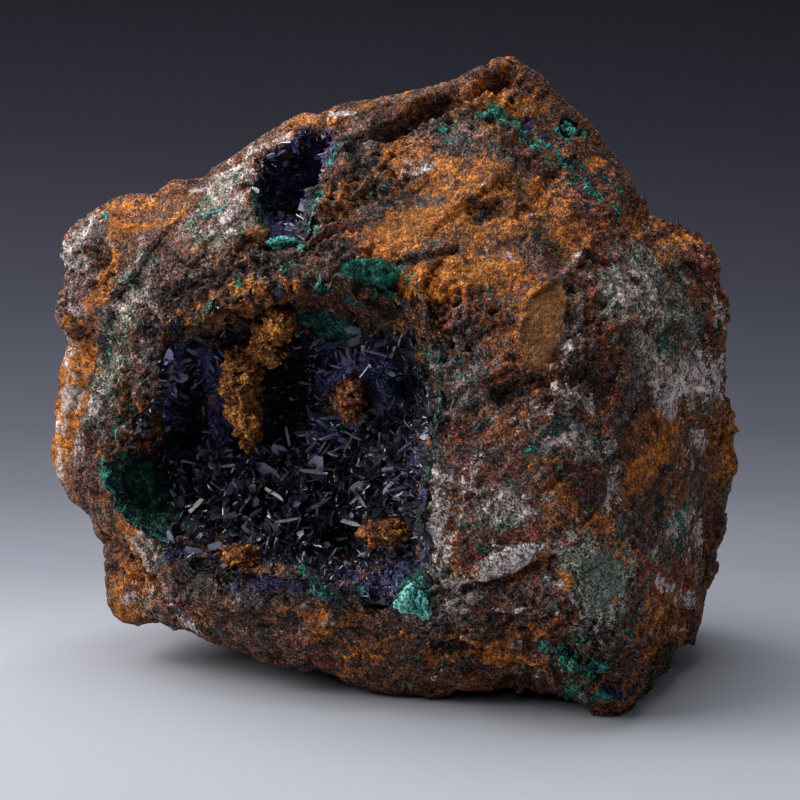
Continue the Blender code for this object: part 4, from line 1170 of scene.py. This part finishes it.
def add_blades(node, crust, masks, inner, surface):
    """The druse's blade crystals, on the side of the crust that faces the vug."""
    chance = np.random.default_rng(5)
    points = mesh_points(crust.data)
    density = np.full(len(points), BARE_DENSITY)
    low, high = (np.full(len(points), length) for length in BARE_LENGTHS)
    for pixels, reach, *wanted in strokes(BLADE_FIELDS[node], 4):
        share = smooth_step(1 - path_distance(points, surface.path(pixels)) / reach, 0.0, 0.45)
        for values, value in zip((density, low, high), wanted):
            values += (value - values) * share
    others = [masks[name] for name in ("malachite", "limonite", "rust", "bright")]
    bare = np.where(np.max(others, axis=0) > NO_BLADES, 0.08, 1.0)
    density *= inner * bare * smooth_step(cloudy(points, 7.0, 81, 2), -0.9, -0.1)
    density *= smooth_step(nearest_rim(points), 0.8, 3.4)
    places, normals, at = surface_samples(crust.data, density, chance)
    count = len(places)
    length = low[at] + (high - low)[at] * chance.random(count) ** 2.2
    tilt = np.radians(chance.uniform(15, 78, count))[:, None]
    sideways = unit(np.cross(normals, chance.normal(size=(count, 3))))
    directions = normals * np.cos(tilt) + sideways * np.sin(tilt)
    faces_toward = chance.normal(size=(count, 3))
    widths = length * (0.12 + 0.50 * chance.random(count) ** 1.5)
    sizes = np.stack([length, widths, np.clip(length * chance.uniform(0.05, 0.12, count), 0.12, 0.5)], 1)
    starts = places - normals * 0.35 - directions * 0.2
    violet = masks["violet"][at]
    if node == "azurite_main_druse":
        paths, long_widths = zip(*strokes(LONG_BLADES, 1))
        ends = np.array([surface.path(pixels) for pixels in paths]) + np.outer(LONG_BLADE_LIFTS, TOWARD)
        ways = ends[:, 1] - ends[:, 0]
        starts = np.concatenate([starts, ends[:, 0]])
        directions = np.concatenate([directions, unit(ways)])
        faces_toward = np.concatenate([faces_toward, unit(TOWARD + chance.normal(size=ways.shape) * 0.35)])
        long_sizes = []
        for way, width in zip(ways, long_widths):
            long_sizes.append((np.linalg.norm(way), width, LONG_BLADE_THICK))
        sizes = np.concatenate([sizes, long_sizes])
        violet = np.concatenate([violet, np.zeros(len(ends))])
    name = node.replace("druse", "blades")
    mesh = blade_mesh(name, starts, directions, faces_toward, sizes, violet, chance)
    new_piece(new_object(name, mesh), azurite_material(name))


# The colours of blades, of violet blades and of the crust under them, in linear red, green and blue. The
# brightest stops of the blades and violet blades are painted sheen: lavender grey that stands in for the
# light their faces reflect
BLADE_TINTS = [
    (0.1, (0.0012, 0.0012, 0.0025)), (0.52, (0.003, 0.003, 0.009)), (0.65, (0.018, 0.017, 0.050)),
    (0.78, (0.095, 0.092, 0.18)), (0.9, (0.40, 0.39, 0.55)),
]  # fmt: skip
VIOLET_TINTS = [
    (0.1, (0.004, 0.004, 0.022)), (0.42, (0.022, 0.022, 0.11)), (0.66, (0.09, 0.09, 0.27)),
    (0.85, (0.28, 0.28, 0.50)),
]  # fmt: skip
CRUST_TINTS = [(0.25, (0.0012, 0.0012, 0.002)), (0.5, (0.003, 0.0034, 0.010)), (0.78, (0.022, 0.022, 0.065))]
CRUST_VIOLET = [(0.22, (0.003, 0.003, 0.014)), (0.44, (0.020, 0.021, 0.115)), (0.70, (0.15, 0.155, 0.46))]
CRUST_RUST = [
    (0.2, (0.006, 0.003, 0.002)), (0.40, (0.060, 0.020, 0.009)), (0.58, (0.25, 0.080, 0.022)),
    (0.8, (0.55, 0.26, 0.09)),
]  # fmt: skip
CRUST_GREEN = [(0.25, (0.001, 0.012, 0.008)), (0.5, (0.004, 0.085, 0.060)), (0.8, (0.04, 0.44, 0.33))]


def azurite_material(name):
    shader = Shader(name, 0.2, **{"IOR": 1.75, "Specular IOR Level": 0.6})
    along, over, tone, violet = shader.masks("blade")
    fine = shader.noise(0.45, 3, 0.6)
    patch = shader.noise(1.6, 3, 0.6, 2.2)
    colour = shader.ramp(shader.sum((tone, 0.8), (fine, 0.1), (patch, 0.1)), BLADE_TINTS)
    blue = shader.ramp(shader.sum((tone, 0.8), (fine, 0.2), (1.0, VIOLET_LIGHTER)), VIOLET_TINTS)
    colour = shader.mix(shader.step(violet, 0.45, 0.9), colour, blue)
    # Painted sheen: patches of blades lightened to lavender grey, standing in for the light their faces
    # reflect; these patches are rougher too
    painted_sheen = shader.step(shader.sum((patch, 1.0), (tone, 0.25)), 0.72, 0.82)
    colour = shader.mix(shader.weaker(painted_sheen, 0.45), colour, (0.075, 0.07, 0.11))
    # Painted glints along the blades' striations: lighter stripes in the colour, which are bumps as well
    lines = shader.math("SINE", shader.sum((over, 30.0), (tone, 40.0), (fine, 3.4)))
    colour = shader.mix(shader.weaker(shader.step(lines, 0.72, 0.95), 0.55), colour, (0.095, 0.092, 0.155))
    gloss = shader.sum((shader.range(fine, 0.3, 0.7, 0.12, 0.3), 1.0), (painted_sheen, 0.3))
    return shader.finish(colour, shader.sum((lines, 1.0), (fine, 0.8), (along, 0.4)), 0.02, 0.6, gloss)


def crust_material(name):
    shader = Shader(name, 0.5, **{"IOR": 1.6})
    malachite, limonite, violet, rust = shader.masks("crust")
    bright, stands, *_ = shader.masks("rims")
    *random, hump = shader.grains(0.45)
    wide = shader.grains(1.2, 2.7)
    blotches = shader.fields(3.4, 4, 0.6, 5.3) + shader.fields(3.4, 4, 0.6, 12.9)
    crumbs = shader.fields(1.2, 5, 0.65, 2.0)
    texture = shader.sum((random[0], 0.34), (crumbs[0], 0.8), (wide[1], 0.16), (1.0, -0.15))
    colour = shader.ramp(texture, CRUST_TINTS)
    layers = (
        (violet, 0.50, CRUST_VIOLET), (rust, 0.50, CRUST_RUST), (limonite, 0.62, TINTS["ochre"]),
        (malachite, 0.66, CRUST_GREEN), (bright, 0.72, TINTS["malachite"]),
    )  # fmt: skip
    for number, (mask, rare, stops) in enumerate(layers):
        found = shader.sum(
            (mask, 1.0), (blotches[number], 1.6), (crumbs[number % 3], 1.0), (random[number % 3], 0.3),
            (1.0, -1.45),
        )  # fmt: skip
        colour = shader.mix(shader.step(found, rare - 0.1, rare + 0.12), colour, shader.ramp(texture, stops))
    shade = shader.sum((random[1], 1.9), (wide[0], 0.9), (crumbs[1], 3.0), (1.0, -2.9 + 1.0))
    colour = shader.shaded(colour, shade, 0.08)
    # Painted glints: pale specks that stand in for tiny specular highlights
    painted_glints = shader.math("MULTIPLY", shader.math("SUBTRACT", random[2], 0.86), 1.6, clamp=True)
    colour = shader.mix(painted_glints, colour, (0.30, 0.29, 0.36))
    # Painted shade: the crust's hollows are darkened towards near black
    pits = shader.step(shader.sum((stands, 1.0), (crumbs[0], 0.4)), 0.68, 0.46)
    colour = shader.mix(shader.weaker(pits, 0.85), colour, (0.003, 0.002, 0.003))
    height = shader.sum((hump, -0.9), (wide[3], -0.8), (crumbs[2], 2.6))
    return shader.finish(colour, height, 0.9, roughness=shader.range(random[2], 0.1, 0.9, 0.3, 0.85))


def add_druse(node):
    surface = Surface(node)
    crust = crust_of(node, surface)
    points, normals = mesh_points(crust.data), mesh_normals(crust.data)
    ragged = cloudy(points, 4.0, 52, 3) * 0.25
    tables = [(name, table, surface) for name, table in DRUSE_MINERALS[node].items()]
    tables.append(("bright", MINERALS["malachite"], whole_surface))
    masks = {name: np.clip(stroke_mask(points, table, on) + ragged, 0, 1) for name, table, on in tables}
    store(crust.data, "crust", *(masks[name] for name in ("malachite", "limonite", "violet", "rust")))
    store(crust.data, "rims", masks["bright"], standing_out(crust.data, RELIEF_HEIGHT))
    new_piece(crust, crust_material(crust.name), node)
    add_blades(node, crust, masks, faces_vug(points, normals, node, -0.1, 0.2), surface)


KNOB_TINTS = [
    (0.2, (0.05, 0.014, 0.003)), (0.40, (0.27, 0.078, 0.011)), (0.54, (0.54, 0.19, 0.024)),
    (0.76, (0.80, 0.42, 0.10)),
]  # fmt: skip


def knob_material():
    shader = Shader("ochre_limonite", 0.9)
    *random, hump = shader.grains(0.55)
    fine = shader.noise(0.4, 3, 0.7)
    grain = shader.noise(2.2, 4, 0.65, 1.4)
    wide = shader.noise(2.4, 4, 0.65, 6.1)
    stands, browner, *_ = shader.masks("form")
    texture = shader.sum((random[0], 0.35), (grain, 0.45), (fine, 0.2))
    colour = shader.ramp(texture, KNOB_TINTS)
    brown = shader.step(shader.sum((random[1], 0.4), (wide, 1.6), (browner, 0.8)), 1.0, 1.2)
    colour = shader.mix(shader.weaker(brown, 0.8), colour, shader.ramp(texture, TINTS["maroon"]))
    # Painted shade: the mass's hollows are darkened towards near black brown
    dark = shader.step(shader.sum((stands, 1.0), (grain, 0.45)), 0.74, 0.50)
    colour = shader.mix(shader.weaker(dark, 0.9), colour, (0.010, 0.005, 0.003))
    colour = shader.shaded(colour, shader.sum((random[2], 1.2), (grain, 1.6), (1.0, -1.4 + 0.85)), 0.06)
    return shader.finish(colour, shader.sum((hump, -0.9), (fine, 0.9)), 0.45)


# The column's shape: a height, how broad it is there, and its middle's place across
COLUMN = (
    (66, 0.75, -40), (74, 0.95, -41), (82, 1.2, -42), (91, 1.2, -42), (94, 0.75, -34), (104, 0.75, -33),
)  # fmt: skip

# How far each knob's surface is drawn in, in millimetres, and how brown it is
KNOBS = {
    "limonite_column": (0.8, 0.0),
    "limonite_mound": (2.7, 0.3),
    "limonite_ledge_knob": (1.3, 0.35),
    "limonite_sill_knob": (0.4, 0.1),
}


def add_knob(node, material, shrunk, browner):
    """A crumbly mass with pits, in place of a packed one."""
    knob, points, normals = fine_copy(node + "_mass", node, 0.4, 8)
    depth = waves(points, 7.0, 90) * 1.8 + cloudy(points, 3.4, 92, 3) * 1.4 - shrunk
    depth += chips(points, 2.4, 95, 0.8, 0.5) * 1.2 + (0.45 - lumps(points, 1.7, 91)) * 0.9
    depth -= smooth_step(waves(points, 2.1, 94), 0.1, 0.5) * 1.6
    broad, middle = np.ones(len(points)), points.mean(0)[0]
    if node == "limonite_column":
        heights, factors, middles = zip(*COLUMN)
        broad, middle = np.interp(points[:, 2], heights, factors), np.interp(points[:, 2], heights, middles)
    moved = points + normals * depth[:, None]
    moved[:, 0] = middle + (moved[:, 0] - middle) * broad + cloudy(points, 3.0, 93, 3) * 0.9
    set_points(knob.data, moved)
    knob.data.shade_smooth()
    store(knob.data, "form", standing_out(knob.data, 1.3, 4), browner)
    new_piece(knob, material, node)


# Kinds of malachite: their colours from dark to bright, in linear red, green and blue, and their roughness
MALACHITES = {
    "malachite_crust": (
        [(0.3, (0.004, 0.09, 0.07)), (0.48, (0.03, 0.36, 0.29)), (0.7, (0.42, 0.90, 0.82))], 0.7
    ),
    "malachite_film": (
        [(0.3, (0.002, 0.030, 0.026)), (0.5, (0.008, 0.15, 0.12)), (0.75, (0.10, 0.60, 0.50))], 0.7
    ),
    "malachite_velvet": (
        [(0.3, (0.0006, 0.008, 0.005)), (0.5, (0.002, 0.044, 0.028)), (0.8, (0.012, 0.22, 0.15))], 0.8
    ),
    "malachite_tuft": (
        [(0.3, (0.001, 0.012, 0.009)), (0.5, (0.005, 0.080, 0.058)), (0.8, (0.04, 0.42, 0.31))], 0.8
    ),
}  # fmt: skip


def malachite_material(name):
    """Malachite with painted shade: darker in its hollows and lighter where it stands out. The form mask
    says how far a place stands out.
    """
    stops, roughness = MALACHITES[name]
    shader = Shader(name, roughness)
    *random, hump = shader.grains(0.4)
    fine = shader.noise(0.3, 3, 0.7)
    grain = shader.noise(1.3, 4, 0.6, 1.4)
    stands = shader.masks("form")[0]
    texture = shader.sum((grain, 0.8), (fine, 0.3), (random[0], 0.3), (stands, 0.45), (1.0, -0.42))
    return shader.finish(shader.ramp(texture, stops), shader.sum((hump, -0.8), (fine, 0.8)), 0.3)


def add_crust(node, material, shrunk):
    """A crust of small streaked lumps, in place of a packed one."""
    crust, points, normals = fine_copy(node + "_lumps", node, 0.32, 5)
    fine = (0.5 - lumps(points / (1, 1, 2.4), 0.7, 96)) * 0.25
    pits = smooth_step(waves(points / (1, 1, 3.0), 1.0, 99), 0.1, 0.5) * 1.0
    depth = fine + cloudy(points / (1, 1, 1.6), 3.4, 97, 4) * 1.4 - shrunk - pits
    set_points(crust.data, points + normals * depth[:, None])
    crust.data.shade_smooth()
    store(crust.data, "form", standing_out(crust.data, 0.8))
    new_piece(crust, material, node)


NEEDLES_IN_TUFT = 7
NEEDLE_WIDTH = 0.09


def add_velvet(node, material, tufts, needle):
    """A mass covered with tufts of fine needles, in place of a packed one."""
    chance = np.random.default_rng(9)
    bed, points, normals = fine_copy(node + "_bed", node, 0.6, 4)
    depth = cloudy(points, 3.5, 98, 3) * 1.5 + (0.5 - lumps(points, 1.9, 95)) * 1.9 - needle
    set_points(bed.data, points + normals * depth[:, None])
    bed.data.shade_smooth()
    store(bed.data, "form", standing_out(bed.data, 1.2))
    places, out, _ = surface_samples(bed.data, np.full(len(points), tufts), chance)
    places = np.repeat(places, NEEDLES_IN_TUFT, 0)
    directions = unit(np.repeat(out, NEEDLES_IN_TUFT, 0) + chance.normal(size=places.shape) * 0.55)
    lengths = needle * chance.uniform(0.5, 1.3, (len(places), 1))
    side = unit(np.cross(directions, chance.normal(size=places.shape)))
    width = NEEDLE_WIDTH * needle
    half, other = places - side * width * 0.5, np.cross(directions, side) * width
    corners = np.stack([places + side * width, half + other, half - other, places + directions * lengths], 1)
    mesh = bpy.data.meshes.new(node + "_needles")
    faces = repeated([(0, 1, 3), (1, 2, 3), (2, 0, 3)], 4, len(places))
    mesh.from_pydata((corners.reshape(-1, 3) * MM).tolist(), [], faces)
    # Painted shade at the needles' bases: the form mask is low at the base and high at the tip, so the tips
    # are lighter
    tips = np.tile([0.2, 0.2, 0.2, 0.8], len(places)) + np.repeat(chance.uniform(-0.2, 0.2, len(places)), 4)
    store(mesh, "form", tips)
    for piece in (bed, new_object(mesh.name, mesh)):
        new_piece(piece, material, node)


def add_minerals():
    for node in VUG_MIDDLES:
        add_druse(node)
    ochre = knob_material()
    for node, (shrunk, browner) in KNOBS.items():
        add_knob(node, ochre, shrunk, browner)
    turquoise, teal, velvet, tuft = map(malachite_material, MALACHITES)
    add_crust("malachite_rim_crust", turquoise, 1.1)
    add_crust("malachite_upper_lining", teal, 1.1)
    add_crust("malachite_upper_patch", teal, 0.9)
    add_velvet("malachite_left_velvet", velvet, 3.2, 0.9)
    add_velvet("malachite_roof_tuft", tuft, 4.0, 0.7)


# The stage: the bend from its floor to its walls, the walls' height, and how far they are to the sides and
# behind, in metres
STAGE_BEND = 0.5
STAGE_HEIGHT = 2.6
STAGE_SIDE = 1.6
STAGE_BACK = 0.55
BEND_STEPS = 12

# The stage's colours with the distance from its floor's edge, in linear red, green and blue: a painted
# fall-off of light, pale on the floor and darker towards the back and up the walls
STAGE_PAINTED_FALLOFF = [
    (0.0, (0.370, 0.385, 0.432)), (0.083, (0.205, 0.216, 0.255)), (0.167, (0.110, 0.117, 0.143)),
    (0.25, (0.070, 0.075, 0.097)), (0.333, (0.054, 0.058, 0.077)), (0.458, (0.040, 0.043, 0.061)),
    (0.54, (0.033, 0.034, 0.050)), (0.68, (0.016, 0.016, 0.025)), (0.8, (0.006, 0.006, 0.011)),
]  # fmt: skip


def stage_material():
    shader = Shader("floor", 0.8, **{"Specular IOR Level": 0.15})
    across, deep, up = shader.add("SeparateXYZ", {0: shader.place}).outputs
    beside = shader.math("SUBTRACT", shader.math("ABSOLUTE", across), STAGE_SIDE - STAGE_BACK)
    before = shader.math("SUBTRACT", shader.weaker(deep, -1.0), STAGE_SIDE - STAGE_BACK)
    farthest = shader.math("MAXIMUM", shader.math("MAXIMUM", deep, beside), before)
    wavy = shader.range(shader.noise(300, 2), 0, 1, -0.02, 0.02)
    distance = shader.math("ADD", shader.math("ADD", farthest, up), wavy)
    return shader.finish(shader.ramp(shader.range(distance, 0.0, 1.2, 0, 1), STAGE_PAINTED_FALLOFF))


def add_stage():
    """A pale floor that rises into walls, made darker towards the back and the top by a painted fall-off of
    light.
    """
    mesh = bmesh.new()
    profile = [(0.001, 0.0)]
    for step in range(1, BEND_STEPS + 1):
        turn = math.radians(90 * step / BEND_STEPS)
        profile.append((STAGE_BEND * math.sin(turn), STAGE_BEND * (1 - math.cos(turn))))
    profile.append((STAGE_BEND, STAGE_HEIGHT))
    corners = (
        (STAGE_SIDE, STAGE_BACK, 0), (-STAGE_SIDE, STAGE_BACK, 90), (-STAGE_SIDE, -STAGE_SIDE, 180),
        (STAGE_SIDE, -STAGE_SIDE, 270),
    )  # fmt: skip
    rings = []
    for out, up in profile:
        ring = []
        for side, away, start in corners:
            for turn in np.radians(start + np.arange(0, 91, 15)):
                across, deep = side + out * math.cos(turn), away + out * math.sin(turn)
                ring.append(mesh.verts.new((across, deep, up)))
        rings.append(ring)
    mesh.faces.new(rings[0])
    for inner, outer in zip(rings, rings[1:]):
        for index in range(len(inner)):
            after = (index + 1) % len(inner)
            mesh.faces.new((inner[index], outer[index], outer[after], inner[after])).smooth = True
    data = bpy.data.meshes.new("floor")
    mesh.to_mesh(data)
    mesh.free()
    data.materials.append(stage_material())
    floor = new_object("floor", data)


# Soft rectangular lamps: their size and place in metres, their power and their colour
WARM, COOL, WHITE = (1.0, 0.98, 0.96), (0.97, 0.98, 1.0), (1.0, 1.0, 1.0)
LAMPS = {
    "key": ((0.9, 0.7), (-0.84, -0.12, 0.66), 11.5, WARM),
    "back": ((0.9, 0.7), (-0.7, 0.35, 0.7), 6.8, WARM),
    "top": ((0.9, 0.7), (-0.05, 0.3, 1.05), 9.2, COOL),
    "fill": ((0.6, 0.6), (0.72, -0.42, 0.9), 1.1, (0.9, 0.95, 1.0)),
    "front": ((0.6, 0.4), (-0.3, -1.2, 0.7), 0.6, WHITE),
}
LAMPS_AIM = Vector((0.0, 0.0, 0.07))
WORLD_COLOUR = (0.55, 0.6, 0.7, 1.0)
WORLD_STRENGTH = 0.04


def add_lights():
    for name, (size, place, power, colour) in LAMPS.items():
        data = bpy.data.lights.new(name, "AREA")
        data.shape = "RECTANGLE"
        data.size, data.size_y = size
        data.energy = power
        data.color = colour
        lamp = new_object(name, data)
        lamp.location = place
        lamp.rotation_euler = (LAMPS_AIM - Vector(place)).to_track_quat("-Z", "Y").to_euler()
    world = bpy.data.worlds.new("world")
    world.use_nodes = True
    background = world.node_tree.nodes["Background"]
    background.inputs["Color"].default_value = WORLD_COLOUR
    background.inputs["Strength"].default_value = WORLD_STRENGTH
    bpy.context.scene.world = world


def add_camera():
    data = bpy.data.cameras.new("camera")
    data.sensor_width = SENSOR
    data.lens = SENSOR * VIEW_DISTANCE / PICTURE_WIDTH
    data.clip_start, data.clip_end = 0.05, 20
    camera = new_object("camera", data)
    axes = Matrix([ACROSS, UPWARD, TOWARD]).transposed().to_4x4()
    camera.matrix_world = Matrix.Translation(Vector((VIEW_CENTRE + TOWARD * VIEW_DISTANCE) * MM)) @ axes
    bpy.context.scene.camera = camera


def main():
    add_camera()
    add_rock()
    add_minerals()
    add_stage()
    add_lights()
    bpy.context.scene.view_settings.view_transform = "Standard"


main()
